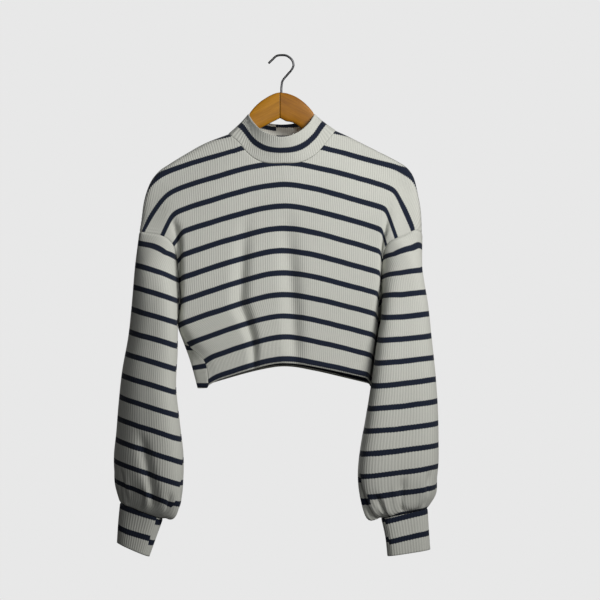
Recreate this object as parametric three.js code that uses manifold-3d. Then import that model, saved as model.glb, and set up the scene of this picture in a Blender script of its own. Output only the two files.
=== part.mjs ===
// A long-sleeved cropped top of rib knit, hanging on a wooden hanger with a steel wire hook.
// Millimetres, +Z up, the front of the garment facing -Y. The origin is where the hook rests on its peg.
// Each panel is a surface over the flat cut: s runs across from the middle and t runs down, both in mm.
import * as THREE from 'three';
import { mergeVertices } from 'three/addons/utils/BufferGeometryUtils.js';
import Module from 'manifold-3d';

// Driving sizes
const WALL = 2; // thickness of the knit
const SEAM_GAP = 0.3; // between two pieces that are sewn together
const FRONT_LENGTH = 373; // from the first stripe line to the front hem
const BACK_LENGTH = 381;
const NECK_HALF = 92; // flat half width at the neck points
const NECK_T = -40; // the neck points lie above the first stripe line
const SHOULDER_FALL = 0.25; // of the shoulder seam in the flat cut
const SHOULDER_HALF = 300; // flat half width at the dropped shoulder's tip
const UNDERARM_T = 200;
const NECK_DEPTH = { front: 77, back: 40 }; // from the neck points down to the middle of the neckline
const NECK_ROUND = 2.8; // a higher value gives a flatter bottom to the neckline
const COLLAR_RIB = 0.5; // height of a raised rib
const SHOULDER_ROUND = 10; // how far the cloth stands out where it turns over the hanger's top edge
const SHOULDER_TURN = 3; // and how soon below the seam
const SLEEVE_ROUND = { left: 0.8, right: 0.55 }; // 1 is an oval ring, less is squarer
const SLEEVE_TURN = { left: 0.5, right: 0.2 }; // how far a sleeve's front is turned outward
const TURN_OVER = 130; // length over which the turn grows below the shoulder
const HANGER_THICK = 10;
const HANGER_CLEAR = 1.5; // from the hanger's top edge to the cloth that rests on it
const WIRE = 3.8; // hook wire diameter

// How finely the pieces are divided
const SHOULDER_COLUMNS = 8;
const NECK_COLUMNS = 10;
const TOP_ROW = 5; // from the shoulder seam to the next row, so that the cloth rounds the hanger
const ARMHOLE_ROWS = 12;
const BODY_ROWS = 11;
const SLEEVE_ROWS = 17;
const COLLAR_ROWS = 3;
const COLLAR_SPLIT = 8; // rib points between two columns
const CUFF_SPLIT = 4;
const HOOK_STEPS = 36;
const OVAL_STEPS = 360; // for measuring along a sleeve's ring

// How the panels hang
const STRIPE_ARCH = 0.26; // a higher value rounds the cloth's fall more broadly in the middle
const CROWN = 2.4; // a higher value keeps the middle's depth further out to the sides
const NECK_GROW = 75; // length over which the depth grows below the shoulder, near the neck
const TIP_GROW = 12; // and at the shoulder's tip
const GROW_FROM = 150; // from here to the tip the one passes into the other
const GROW_OVER = 140;
const HEM_BEND = 3; // how late the middle's length passes into the side's

// Half width of the flat cut: the armhole edge down to the underarm, then the side edge
const HALF_WIDTH = [
  { t: 12, w: SHOULDER_HALF },
  { t: 37, w: 288 },
  { t: 73, w: 255 },
  { t: 110, w: 238 },
  { t: 146, w: 234 },
  { t: UNDERARM_T, w: 240 },
  { t: 290, w: 236 },
  { t: 385, w: 230 },
];

// Middle of the front and the back, where the cloth hangs flattest
const MIDDLE = [
  { t: -40, x: -3, z: -106, front: -47, back: 40 },
  { t: 0, x: -3, z: -145, front: -47, back: 42 },
  { t: 37, x: -3, z: -182, front: -48, back: 44 },
  { t: 110, x: 0, z: -255, front: -50, back: 46 },
  { t: 183, x: 0, z: -330, front: -52, back: 48 },
  { t: 256, x: 0, z: -404, front: -54, back: 50 },
  { t: 330, x: 0, z: -476, front: -56, back: 52 },
  { t: 385, x: 0, z: -531, front: -58, back: 54 },
];

// Each side: where a line of the cut turns (a, x, y, z) and where it ends on the seam (sx, sy, sz)
const FRONT_SIDES = {
  left: [
    { t: -40, a: 224, x: -212, y: -6, z: -163, sx: -246, sy: -14, sz: -250, soft: 26 },
    { t: 0, a: 220, x: -209, y: -14, z: -196, sx: -246, sy: -20, sz: -287, soft: 24 },
    { t: 37, a: 212, x: -202, y: -30, z: -229, sx: -238, sy: -30, sz: -297, soft: 22 },
    { t: 73, a: 202, x: -190, y: -42, z: -265, sx: -206, sy: -40, sz: -304, soft: 14 },
    { t: 110, a: 182, x: -171, y: -44, z: -297, sx: -187, sy: -34, sz: -320, soft: 8 },
    { t: 146, a: 181, x: -171, y: -44, z: -336, sx: -181, sy: -18, sz: -348, soft: 8 },
    { t: 200, a: 182, x: -171, y: -44, z: -393, sx: -177, sy: 0, sz: -396, soft: 8 },
    { t: 225, a: 186, x: -172, y: -44, z: -420, sx: -176, sy: -6, sz: -424, soft: 9 },
    { t: 256, a: 190, x: -171, y: -43, z: -452, sx: -180, sy: -16, sz: -457, soft: 10 },
    { t: 293, a: 208, x: -150, y: -45, z: -483, sx: -163, sy: -29, sz: -489, soft: 12 },
    { t: 330, a: 208, x: -122, y: -47, z: -509, sx: -134, sy: -41, sz: -518, soft: 12 },
    { t: 385, a: 206, x: -112, y: -49, z: -559, sx: -127, sy: -45, sz: -568, soft: 12 },
  ],
  right: [
    { t: -40, a: 226, x: 212, y: -6, z: -158, sx: 236, sy: -14, sz: -252, soft: 20 },
    { t: 0, a: 216, x: 203.5, y: -14, z: -192, sx: 235, sy: -20, sz: -290, soft: 18 },
    { t: 37, a: 206, x: 190, y: -30, z: -224, sx: 217, sy: -30, sz: -299, soft: 14 },
    { t: 73, a: 190, x: 173, y: -40, z: -258, sx: 190, sy: -41, sz: -308, soft: 8 },
    { t: 110, a: 180, x: 166, y: -43, z: -294, sx: 173, sy: -34, sz: -321, soft: 8 },
    { t: 146, a: 180, x: 163, y: -43, z: -330, sx: 167, sy: -18, sz: -348, soft: 8 },
    { t: 200, a: 180, x: 162, y: -43, z: -384, sx: 163, sy: 0, sz: -396, soft: 8 },
    { t: 225, a: 179, x: 158, y: -44, z: -407, sx: 161, sy: 4, sz: -420, soft: 8 },
    { t: 256, a: 178, x: 155, y: -44, z: -436, sx: 161, sy: 9, sz: -449, soft: 8 },
    { t: 293, a: 178, x: 152, y: -46, z: -472, sx: 160, sy: 12, sz: -485, soft: 8 },
    { t: 330, a: 178, x: 147, y: -48, z: -506, sx: 154, sy: 14, sz: -519, soft: 8 },
    { t: 385, a: 178, x: 140, y: -50, z: -555, sx: 148, sy: 14, sz: -567, soft: 8 },
  ],
};

// The same for the back, which wraps round to the front at the lower left
const BACK_SIDES = {
  left: [
    { t: -40, a: 224, x: -212, y: 6, z: -163, sx: -246, sy: 14, sz: -250, soft: 26 },
    { t: 0, a: 220, x: -209, y: 14, z: -198, sx: -246, sy: 20, sz: -287, soft: 24 },
    { t: 37, a: 212, x: -202, y: 28, z: -229, sx: -238, sy: 28, sz: -297, soft: 22 },
    { t: 73, a: 202, x: -190, y: 38, z: -265, sx: -206, sy: 38, sz: -304, soft: 14 },
    { t: 110, a: 186, x: -175, y: 42, z: -297, sx: -187, sy: 32, sz: -320, soft: 10 },
    { t: 146, a: 184, x: -177, y: 42, z: -335, sx: -181, sy: 17, sz: -348, soft: 10 },
    { t: 200, a: 184, x: -182, y: 40, z: -390, sx: -177, sy: 0, sz: -396, soft: 12 },
    { t: 225, a: 182, x: -185, y: 36, z: -420, sx: -176, sy: -6, sz: -424, soft: 12 },
    { t: 256, a: 176, x: -185, y: 24, z: -452, sx: -180, sy: -16, sz: -457, soft: 14 },
    { t: 293, a: 172, x: -176, y: 0, z: -487, sx: -163, sy: -29, sz: -489, soft: 14 },
    { t: 330, a: 168, x: -166, y: -28, z: -525, sx: -134, sy: -41, sz: -518, soft: 14 },
    { t: 385, a: 168, x: -153, y: -37, z: -567, sx: -127, sy: -45, sz: -568, soft: 14 },
  ],
  right: [
    { t: -40, a: 226, x: 212, y: 6, z: -158, sx: 236, sy: 14, sz: -252, soft: 20 },
    { t: 0, a: 222, x: 209, y: 14, z: -195, sx: 235, sy: 20, sz: -290, soft: 18 },
    { t: 37, a: 206, x: 190, y: 28, z: -224, sx: 217, sy: 28, sz: -299, soft: 14 },
    { t: 73, a: 190, x: 173, y: 38, z: -262, sx: 190, sy: 38, sz: -308, soft: 10 },
    { t: 110, a: 180, x: 166, y: 42, z: -297, sx: 173, sy: 32, sz: -321, soft: 10 },
    { t: 146, a: 180, x: 163, y: 42, z: -330, sx: 167, sy: 17, sz: -348, soft: 10 },
    { t: 200, a: 180, x: 159, y: 43, z: -384, sx: 163, sy: 0, sz: -396, soft: 10 },
    { t: 225, a: 176, x: 171, y: 41, z: -408, sx: 161, sy: 4, sz: -420, soft: 12 },
    { t: 256, a: 175, x: 174, y: 39, z: -438, sx: 161, sy: 9, sz: -449, soft: 12 },
    { t: 293, a: 175, x: 172, y: 41, z: -475, sx: 160, sy: 12, sz: -485, soft: 12 },
    { t: 330, a: 177, x: 162, y: 46, z: -511, sx: 154, sy: 14, sz: -519, soft: 11 },
    { t: 385, a: 178, x: 147, y: 50, z: -562, sx: 148, sy: 14, sz: -568, soft: 10 },
  ],
};

// The shoulder line, from each neck point along the hanger's arm, over its tip and down to the armhole
const SHOULDER_LINE = {
  left: [
    { s: 92, x: -95, z: -131 },
    { s: 130, x: -134, z: -146 },
    { s: 172, x: -170, z: -166 },
    { s: 204, x: -196, z: -182 },
    { s: 226, x: -213, z: -194 },
    { s: 248, x: -228, z: -214 },
    { s: 266, x: -238, z: -243 },
    { s: 288, x: -243, z: -280 },
    { s: 300, x: -245, z: -297 },
  ],
  right: [
    { s: 92, x: 88, z: -125 },
    { s: 116, x: 107, z: -133.5 },
    { s: 146, x: 135, z: -147.5 },
    { s: 178, x: 163, z: -161.5 },
    { s: 212, x: 192, z: -176.5 },
    { s: 236, x: 210, z: -188.5 },
    { s: 252, x: 221, z: -205 },
    { s: 270, x: 228, z: -233 },
    { s: 286, x: 233, z: -262 },
    { s: 300, x: 235, z: -300 },
  ],
};

// Soft folds of the front and back: a trough where depth is above 0, a ridge where it is below 0
const FRONT_FOLDS = [
  { s: -66, endS: -96, t: 90, endT: 410, depth: 11, width: 17 },
  { s: 2, endS: 26, t: 90, endT: 410, depth: 9, width: 18 },
  { s: -212, endS: -208, t: 60, endT: 190, depth: 12, width: 14 },
  { s: 206, endS: 208, t: 50, endT: 180, depth: 9, width: 13 },
];
const BACK_FOLDS = [
  { s: -20, endS: -38, t: 110, endT: 400, depth: 9, width: 18 },
  { s: 46, endS: 54, t: 150, endT: 400, depth: 8, width: 16 },
  { s: 205, endS: 205, t: 50, endT: 180, depth: 9, width: 14 },
  { s: -205, endS: -205, t: 50, endT: 180, depth: 9, width: 14 },
];

// Sleeves: a ring's place, half sizes and slope towards the body at each length from the cap
const SLEEVES = {
  left: [
    { l: 0, x: -214, y: 0, z: -304, across: 31, deep: 42, slope: 0.28 },
    { l: 60, x: -217.5, y: -2, z: -365, across: 35.5, deep: 46, slope: 0.28 },
    { l: 120, x: -219.5, y: -4, z: -425, across: 39, deep: 50, slope: 0.28 },
    { l: 180, x: -222.5, y: -5, z: -486, across: 42.5, deep: 53, slope: 0.27 },
    { l: 240, x: -229, y: -6, z: -546, across: 46.5, deep: 56, slope: 0.28 },
    { l: 300, x: -229, y: -6, z: -606, across: 53, deep: 58, slope: 0.29 },
    { l: 350, x: -228, y: -6, z: -656, across: 58, deep: 59, slope: 0.3 },
    { l: 390, x: -230, y: -6, z: -695, across: 60, deep: 58, slope: 0.3 },
    { l: 425, x: -231, y: -6, z: -728, across: 58, deep: 54, slope: 0.32 },
    { l: 450, x: -233, y: -6, z: -751, across: 52, deep: 45, slope: 0.34 },
    { l: 470, x: -242, y: -6, z: -770, across: 37, deep: 28, slope: 0.34 },
  ],
  right: [
    { l: 0, x: 203, y: 0, z: -308, across: 32, deep: 42, slope: 0.18 },
    { l: 60, x: 202, y: -6, z: -366, across: 33, deep: 46, slope: 0.11 },
    { l: 120, x: 205, y: -14, z: -426, across: 39, deep: 49, slope: 0.1 },
    { l: 180, x: 203, y: -22, z: -486, across: 47, deep: 52, slope: 0.11 },
    { l: 240, x: 202, y: -28, z: -546, across: 54, deep: 55, slope: 0.12 },
    { l: 300, x: 199, y: -30, z: -606, across: 61, deep: 57, slope: 0.12 },
    { l: 350, x: 195, y: -30, z: -656, across: 66, deep: 58, slope: 0.12 },
    { l: 390, x: 193, y: -30, z: -696, across: 68, deep: 57, slope: 0.14 },
    { l: 425, x: 193, y: -30, z: -729, across: 65, deep: 53, slope: 0.15 },
    { l: 450, x: 196, y: -30, z: -754, across: 58, deep: 45, slope: 0.18 },
    { l: 470, x: 203.5, y: -30, z: -772, across: 39, deep: 28, slope: 0.2 },
  ],
};
const CAP_HEIGHT = 75; // of the sleeve cap, from its top to the underarm
const SLEEVE_LENGTH = 470; // from the cap's top to the cuff
const CAP_BLEND = 80; // length over which the sleeve takes its own section below the armhole
const GATHERS = { count: 6, height: 3.2, middle: 444, reach: 24 };

const CUFFS = {
  left: [
    { l: 0, x: -242, y: -6, z: -770.7, across: 37, deep: 28, slope: 0.34 },
    { l: 30, x: -249, y: -6, z: -802, across: 33, deep: 26, slope: 0.34 },
    { l: 64, x: -256, y: -6, z: -836, across: 28, deep: 26, slope: 0.38 },
  ],
  right: [
    { l: 0, x: 203.5, y: -30, z: -772.7, across: 39, deep: 28, slope: 0.2 },
    { l: 34, x: 208, y: -30, z: -806, across: 36.5, deep: 27, slope: 0.18 },
    { l: 68, x: 211, y: -30, z: -839, across: 36, deep: 27, slope: 0.14 },
  ],
};

// The collar's top edge: it dips at the front and the back and stands highest beside the neck
const COLLAR_TOP = { x: -4.3, across: 56, front: -46, back: 43, sides: -97, frontZ: -138, backZ: -113 };
const COLLAR_HOLLOW = 2; // how far the collar draws in halfway up

// The hanger's arms: top and underside where the neck leaves them bare, then along the shoulder
const HANGER_TOP = {
  left: [
    { x: -6.8, z: -60 },
    { x: -16, z: -62 },
    { x: -30, z: -69 },
    { x: -44, z: -79 },
    { x: -55, z: -92 },
    { x: -59, z: -101 },
    { x: -74, z: -123 },
  ],
  right: [
    { x: -6.8, z: -60 },
    { x: 6, z: -62 },
    { x: 21, z: -68 },
    { x: 35, z: -78 },
    { x: 44, z: -88 },
    { x: 48.5, z: -98 },
    { x: 64, z: -122 },
  ],
};
const HANGER_NECK_DROP = 8; // from the neck points down to the wood
const HANGER_TIP = { left: -197, right: 201 };
const HANGER_ARM_HEIGHT = 41; // square to the arm, near the neck
const HANGER_TIP_HEIGHT = 26;
const HANGER_JOINT = -6.8; // where the two arms meet
const HANGER_CROTCH_Z = -104; // underside in the middle
const CROTCH_SLOPE = 0.51;
const ARM_SLOPE = 0.75;
const ARM_SHOULDER = 60; // from the joint to where the arm runs straight
const STEM_DEPTH = 26; // of the hook's stem in the wood

const MATERIALS = {
  knit: new THREE.MeshStandardMaterial({ color: 0xb8b8b1, roughness: 0.9, metalness: 0 }),
  rib: new THREE.MeshStandardMaterial({ color: 0xaeaea6, roughness: 0.9, metalness: 0 }),
  wood: new THREE.MeshStandardMaterial({ color: 0x9b702a, roughness: 0.45, metalness: 0 }),
  steel: new THREE.MeshStandardMaterial({ color: 0x3c3c3c, roughness: 0.35, metalness: 1 }),
};

const mix = (a, b, k) => a + (b - a) * k;
const clamp = (v, low, high) => Math.min(Math.max(v, low), high);
const smooth = (v) => {
  const k = clamp(v, 0, 1);
  return k * k * (3 - 2 * k);
};
const point = (x, y, z) => new THREE.Vector3(x, y, z);

// Reads one column of a table at a place on its key column, with a smooth curve through the rows
function read(table, key, column, place) {
  const last = table.length - 1;
  const k = clamp(place, table[0][key], table[last][key]);
  let i = 0;
  while (i < last - 1 && k > table[i + 1][key]) i += 1;
  const slopeAt = (j) => {
    const low = table[Math.max(j - 1, 0)];
    const high = table[Math.min(j + 1, last)];
    return (high[column] - low[column]) / (high[key] - low[key]);
  };
  const a = table[i];
  const b = table[i + 1];
  const span = b[key] - a[key];
  const q = (k - a[key]) / span;
  const h = q * q * (3 - 2 * q);
  const bendA = q * (1 - q) * (1 - q) * span * slopeAt(i);
  const bendB = q * q * (q - 1) * span * slopeAt(i + 1);
  return mix(a[column], b[column], h) + bendA + bendB;
}

// A length past a turn, rounded over the soft distance
const past = (d, soft) => (d + Math.sqrt(d * d + soft * soft)) / 2;

// How far below the shoulder line a place on the cut lies
const shoulderT = (a) => NECK_T + (a - NECK_HALF) * SHOULDER_FALL;

// One point of the front or the back, from its place on the flat cut
function panelPoint(face, s, t) {
  const side = s < 0 ? 'left' : 'right';
  const rows = (face === 'front' ? FRONT_SIDES : BACK_SIDES)[side];
  const get = (column) => read(rows, 't', column, t);
  const a = Math.abs(s);
  const turn = get('a');
  const soft = get('soft');
  const width = read(HALF_WIDTH, 't', 'w', t);
  const beyond = past(a - turn, soft);
  const along = (a - beyond) / turn;
  const out = beyond / (width - turn);
  const middleX = read(MIDDLE, 't', 'x', t);
  const middleY = read(MIDDLE, 't', face, t);
  const middleZ = read(MIDDLE, 't', 'z', t);
  const arch = (v) => Math.sqrt(v * v + STRIPE_ARCH ** 2) - STRIPE_ARCH;
  const fall = arch(along) / arch(1);
  const below = t - shoulderT(a);
  const sign = face === 'front' ? -1 : 1;
  const grow = mix(NECK_GROW, TIP_GROW, clamp((a - GROW_FROM) / GROW_OVER, 0, 1) ** 2);
  const crown = Math.max(along, 0) ** CROWN;
  const depth = mix(middleY, get('y'), crown);
  const x = mix(middleX, get('x'), along) + (get('sx') - get('x')) * out;
  const z = mix(middleZ, get('z'), fall) + (get('sz') - get('z')) * out;
  const away = sign * (depth + (get('sy') - get('y')) * out);
  const full = t < UNDERARM_T ? Math.max(away, 0) : away;
  const round = SHOULDER_ROUND * (1 - Math.exp(-below / SHOULDER_TURN));
  const y = sign * mix(full, round, Math.exp(-below / grow));
  return point(x, y, z);
}

// How deep the soft folds are at a place on the cut
function foldDepth(folds, s, t) {
  let sum = 0;
  for (const fold of folds) {
    const k = (t - fold.t) / (fold.endT - fold.t);
    const away = (s - mix(fold.s, fold.endS, k)) / fold.width;
    const fade = smooth(k / 0.45) * smooth((1 - k) / 0.25);
    sum += fold.depth * fade * Math.exp(-away * away);
  }
  return sum;
}

// Where the columns of the front and the back start on the shoulder and the neckline
function columnPlaces() {
  const neck = NECK_HALF / SHOULDER_HALF;
  const list = [];
  for (let i = 0; i < SHOULDER_COLUMNS; i += 1) list.push(-mix(1, neck, i / SHOULDER_COLUMNS));
  for (let i = 0; i <= NECK_COLUMNS; i += 1) list.push(mix(-neck, neck, i / NECK_COLUMNS));
  for (let i = 1; i <= SHOULDER_COLUMNS; i += 1) list.push(mix(neck, 1, i / SHOULDER_COLUMNS));
  return list;
}

// The top edge of the cut: the shoulder seam outside the neck points, the neckline between them
function topT(face, u) {
  const a = Math.abs(u) * SHOULDER_HALF;
  if (a >= NECK_HALF) return shoulderT(a);
  const q = a / NECK_HALF;
  return NECK_T + NECK_DEPTH[face] * (1 - q ** NECK_ROUND);
}

// The rows run from the top edge to the hem: where a row ends on the armhole or the side seam
function rowEdgeT(i) {
  const tipT = shoulderT(SHOULDER_HALF);
  if (i === 0) return tipT;
  if (i > ARMHOLE_ROWS) return mix(UNDERARM_T, FRONT_LENGTH, (i - ARMHOLE_ROWS) / BODY_ROWS);
  return mix(tipT + TOP_ROW, UNDERARM_T, (i - 1) / (ARMHOLE_ROWS - 1));
}

function panelGrid(face) {
  const length = face === 'front' ? FRONT_LENGTH : BACK_LENGTH;
  const tipT = shoulderT(SHOULDER_HALF);
  const rows = [];
  const folds = face === 'front' ? FRONT_FOLDS : BACK_FOLDS;
  const inward = face === 'front' ? 1 : -1;
  for (let i = 0; i <= ARMHOLE_ROWS + BODY_ROWS; i += 1) {
    const edgeT = rowEdgeT(i);
    const v = (edgeT - tipT) / (FRONT_LENGTH - tipT);
    rows.push(
      columnPlaces().map((u) => {
        const hem = mix(length, FRONT_LENGTH, Math.abs(u) ** HEM_BEND);
        const t = mix(topT(face, u), hem, v);
        const s = u * read(HALF_WIDTH, 't', 'w', t);
        const p = panelPoint(face, s, t);
        p.y += inward * foldDepth(folds, s, t);
        return p;
      }),
    );
  }
  return rows;
}

// A point of the shoulder seam, which runs along the top of the hanger
function shoulderPoint(side, a) {
  return point(read(SHOULDER_LINE[side], 's', 'x', a), 0, read(SHOULDER_LINE[side], 's', 'z', a));
}

// Moves a grid's edge to a seam line, and the cloth near it with it
function easeColumns(rows, column, step, targets, reach) {
  rows.forEach((row, i) => {
    const shift = targets[i].clone().sub(row[column]);
    for (let k = 0; k <= reach; k += 1) {
      const weight = (1 - k / (reach + 1)) ** 2;
      row[column + step * k].addScaledVector(shift, weight);
    }
  });
}
function easeTop(rows, columns, targets, reach) {
  columns.forEach((j, n) => {
    const shift = targets[n].clone().sub(rows[0][j]);
    for (let k = 0; k <= reach; k += 1) rows[k][j].addScaledVector(shift, (1 - k / (reach + 1)) ** 2);
  });
}

// Outward normals of a grid; closed grids meet themselves after the last column
function gridNormals(rows, closed, flip) {
  const last = rows.length - 1;
  const width = rows[0].length;
  return rows.map((row, i) =>
    row.map((p, j) => {
      const before = closed ? (j + width - 1) % width : Math.max(j - 1, 0);
      const after = closed ? (j + 1) % width : Math.min(j + 1, width - 1);
      const across = row[after].clone().sub(row[before]);
      const down = rows[Math.min(i + 1, last)][j].clone().sub(rows[Math.max(i - 1, 0)][j]);
      return across.cross(down).normalize().multiplyScalar(flip);
    }),
  );
}

// A closed wall: the outer points, the same points moved in by the thickness, and the rims between them.
// split adds outer points between two columns and raises every other one as a rib. Where crossed(j) is true,
// the first rim's faces are cut along the other diagonal, as on the piece that it is sewn to.
function wall(rows, normals, closed, split = 1, rib = 0, crossed = () => false) {
  const width = rows[0].length;
  const spans = closed ? width : width - 1;
  const vertices = [];
  const faces = [];
  const add = (p) => vertices.push(p) - 1;
  const inward = (p, n) => add(p.clone().addScaledVector(n, -WALL));
  const inner = rows.map((row, i) => row.map((p, j) => inward(p, normals[i][j])));
  const outer = rows.map((row, i) => {
    const ids = [];
    const raised = i > 0 && i < rows.length - 1 ? rib : rib * 0.4;
    for (let j = 0; j < spans; j += 1) {
      const next = (j + 1) % width;
      for (let k = 0; k < split; k += 1) {
        const q = k / split;
        const normal = normals[i][j].clone().lerp(normals[i][next], q);
        const lift = k % 2 === 1 ? raised : 0;
        ids.push(add(row[j].clone().lerp(row[next], q).addScaledVector(normal, lift)));
      }
    }
    if (!closed) ids.push(add(row[width - 1].clone()));
    return ids;
  });
  const at = (ids, k) => ids[closed ? k % ids.length : k];
  const quad = (a, b, c, d) => faces.push([a, b, c], [a, c, d]);
  for (let i = 0; i < rows.length - 1; i += 1) {
    for (let k = 0; k < spans * split; k += 1) {
      quad(at(outer[i], k), at(outer[i], k + 1), at(outer[i + 1], k + 1), at(outer[i + 1], k));
    }
    for (let j = 0; j < spans; j += 1) {
      quad(at(inner[i], j), at(inner[i + 1], j), at(inner[i + 1], j + 1), at(inner[i], j + 1));
    }
    if (!closed) {
      const end = outer[i].length - 1;
      quad(outer[i][0], outer[i + 1][0], inner[i + 1][0], inner[i][0]);
      quad(outer[i][end], inner[i][width - 1], inner[i + 1][width - 1], outer[i + 1][end]);
    }
  }
  const rim = (out, inn, turned, other) => {
    for (let j = 0; j < spans; j += 1) {
      const [hub, end] = other(j) ? [j + 1, j * split] : [j, (j + 1) * split];
      const fan = [[at(inn, j), at(inn, j + 1), at(out, end)]];
      for (let k = 0; k < split; k += 1) {
        fan.push([at(inn, hub), at(out, j * split + k + 1), at(out, j * split + k)]);
      }
      fan.forEach((f) => faces.push(turned ? [f[0], f[2], f[1]] : f));
    }
  };
  rim(outer[0], inner[0], false, crossed);
  rim(outer[rows.length - 1], inner[rows.length - 1], true, () => false);
  return solid(vertices, faces);
}

// A geometry from points and faces, turned so that its faces point out
function solid(vertices, faces) {
  let volume = 0;
  for (const [a, b, c] of faces) {
    volume += vertices[a].dot(vertices[b].clone().cross(vertices[c]));
  }
  const order = volume > 0 ? faces : faces.map(([a, b, c]) => [a, c, b]);
  const geometry = new THREE.BufferGeometry();
  const flat = vertices.flatMap((p) => p.toArray());
  geometry.setAttribute('position', new THREE.Float32BufferAttribute(flat, 3));
  geometry.setIndex(order.flat());
  geometry.computeVertexNormals();
  return geometry;
}

// Pulls an edge back from its seam by half the gap, towards the piece's own cloth
function trim(edge, inside, amount = SEAM_GAP / 2) {
  edge.forEach((p, i) => {
    const toInside = inside[i].clone().sub(p).normalize();
    p.addScaledVector(toInside, amount);
  });
}

// An even share of the edge of a squared oval whose half sizes are 1
function squaredOval(side, angle) {
  const square = (v) => Math.sign(v) * Math.abs(v) ** SLEEVE_ROUND[side];
  const at = (a) => new THREE.Vector2(square(Math.cos(a)), square(Math.sin(a)));
  const gone = [0];
  for (let i = 1; i <= OVAL_STEPS; i += 1) {
    const step = at((2 * Math.PI * i) / OVAL_STEPS).distanceTo(at((2 * Math.PI * (i - 1)) / OVAL_STEPS));
    gone.push(gone[i - 1] + step);
  }
  const share = (angle / (2 * Math.PI)) * gone[OVAL_STEPS];
  let i = 0;
  while (i < OVAL_STEPS - 1 && gone[i + 1] < share) i += 1;
  const q = (share - gone[i]) / (gone[i + 1] - gone[i]);
  return at((2 * Math.PI * (i + q)) / OVAL_STEPS);
}

// A sleeve's or cuff's ring: a squared oval in a plane that falls towards the body, its front turned outward
function ringPoint(rows, side, length, angle) {
  const get = (column) => read(rows, 'l', column, length);
  const sign = side === 'left' ? -1 : 1;
  const oval = squaredOval(side, angle);
  const x = sign * get('across') * oval.x;
  const turned = rows === CUFFS[side] ? 1 : clamp(length / TURN_OVER, 0, 1);
  const y = get('y') - get('deep') * oval.y + sign * SLEEVE_TURN[side] * turned * x;
  return point(get('x') + x, y, get('z') + sign * get('slope') * x);
}

// The seam between the armhole and the sleeve: from the tip down the front to the underarm, and up the back
function armholeLoop(front, back, side) {
  const column = side === 'left' ? 0 : front[0].length - 1;
  const loop = [];
  for (let i = 0; i <= ARMHOLE_ROWS; i += 1) loop.push(front[i][column].clone());
  for (let i = ARMHOLE_ROWS - 1; i > 0; i -= 1) loop.push(back[i][column].clone());
  return loop;
}
const loopAngle = (j) => (Math.PI * j) / ARMHOLE_ROWS;

// The wall's direction along a seam: the mean of both pieces' normals, square to the seam's own course
function seamNormal(one, other, before, after) {
  const course = after.clone().sub(before).normalize();
  const mean = one.clone().add(other);
  return mean.addScaledVector(course, -mean.dot(course)).normalize();
}

function sleeveGrid(side, loop) {
  const rows = [];
  for (let i = 0; i <= SLEEVE_ROWS; i += 1) {
    const v = i / SLEEVE_ROWS;
    rows.push(
      loop.map((seam, j) => {
        const angle = loopAngle(j);
        const half = Math.min(angle, 2 * Math.PI - angle) / Math.PI;
        const cap = CAP_HEIGHT * Math.max(2 * half - 1, 0) ** 1.2;
        const length = mix(cap, SLEEVE_LENGTH, v);
        const own = ringPoint(SLEEVES[side], side, length, angle);
        const near = (length - GATHERS.middle) / GATHERS.reach;
        const wave = GATHERS.height * Math.exp(-near * near) * Math.cos(GATHERS.count * angle);
        const middle = (name) => read(SLEEVES[side], 'l', name, length);
        const centre = point(middle('x'), middle('y'), own.z);
        own.addScaledVector(own.clone().sub(centre).normalize(), wave);
        const hold = (1 - clamp((length - cap) / CAP_BLEND, 0, 1)) ** 2;
        const start = ringPoint(SLEEVES[side], side, cap, angle);
        return own.addScaledVector(seam.clone().sub(start), hold);
      }),
    );
  }
  return rows;
}

// Keeps a rim's thickness in the plane of its ring
function flattenRim(ring, list) {
  const quarter = ring.length / 4;
  const across = ring[2 * quarter].clone().sub(ring[0]);
  const deep = ring[3 * quarter].clone().sub(ring[quarter]);
  const axis = across.cross(deep).normalize();
  list.forEach((n) => n.addScaledVector(axis, -n.dot(axis)).normalize());
}

function cuffGrid(side) {
  const table = CUFFS[side];
  const total = table[table.length - 1].l;
  const rows = [];
  for (let i = 0; i <= 3; i += 1) {
    const row = [];
    for (let j = 0; j < 2 * ARMHOLE_ROWS; j += 1) {
      row.push(ringPoint(table, side, (total * i) / 3, loopAngle(j)));
    }
    rows.push(row);
  }
  return rows;
}

// The collar rises from the neckline to its own top edge
function collarGrid(front, back) {
  const first = SHOULDER_COLUMNS;
  const last = SHOULDER_COLUMNS + NECK_COLUMNS;
  const base = [];
  for (let j = first; j <= last; j += 1) base.push(front[0][j].clone());
  for (let j = last - 1; j > first; j -= 1) base.push(back[0][j].clone());
  const rows = [];
  for (let i = 0; i <= COLLAR_ROWS; i += 1) {
    const v = i / COLLAR_ROWS;
    rows.push(
      base.map((p, j) => {
        const angle = (Math.PI * j) / NECK_COLUMNS;
        const c = Math.cos(angle);
        const s = Math.sin(angle);
        const middleY = s > 0 ? COLLAR_TOP.front : -COLLAR_TOP.back;
        const middleZ = s > 0 ? COLLAR_TOP.frontZ : COLLAR_TOP.backZ;
        const top = point(
          COLLAR_TOP.x - COLLAR_TOP.across * c,
          middleY * s,
          mix(COLLAR_TOP.sides, middleZ, Math.abs(s) ** 1.5),
        );
        const way = p.clone().lerp(top, v);
        way.x += COLLAR_HOLLOW * Math.sin(Math.PI * v) * c;
        return way;
      }),
    );
  }
  return rows;
}

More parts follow.
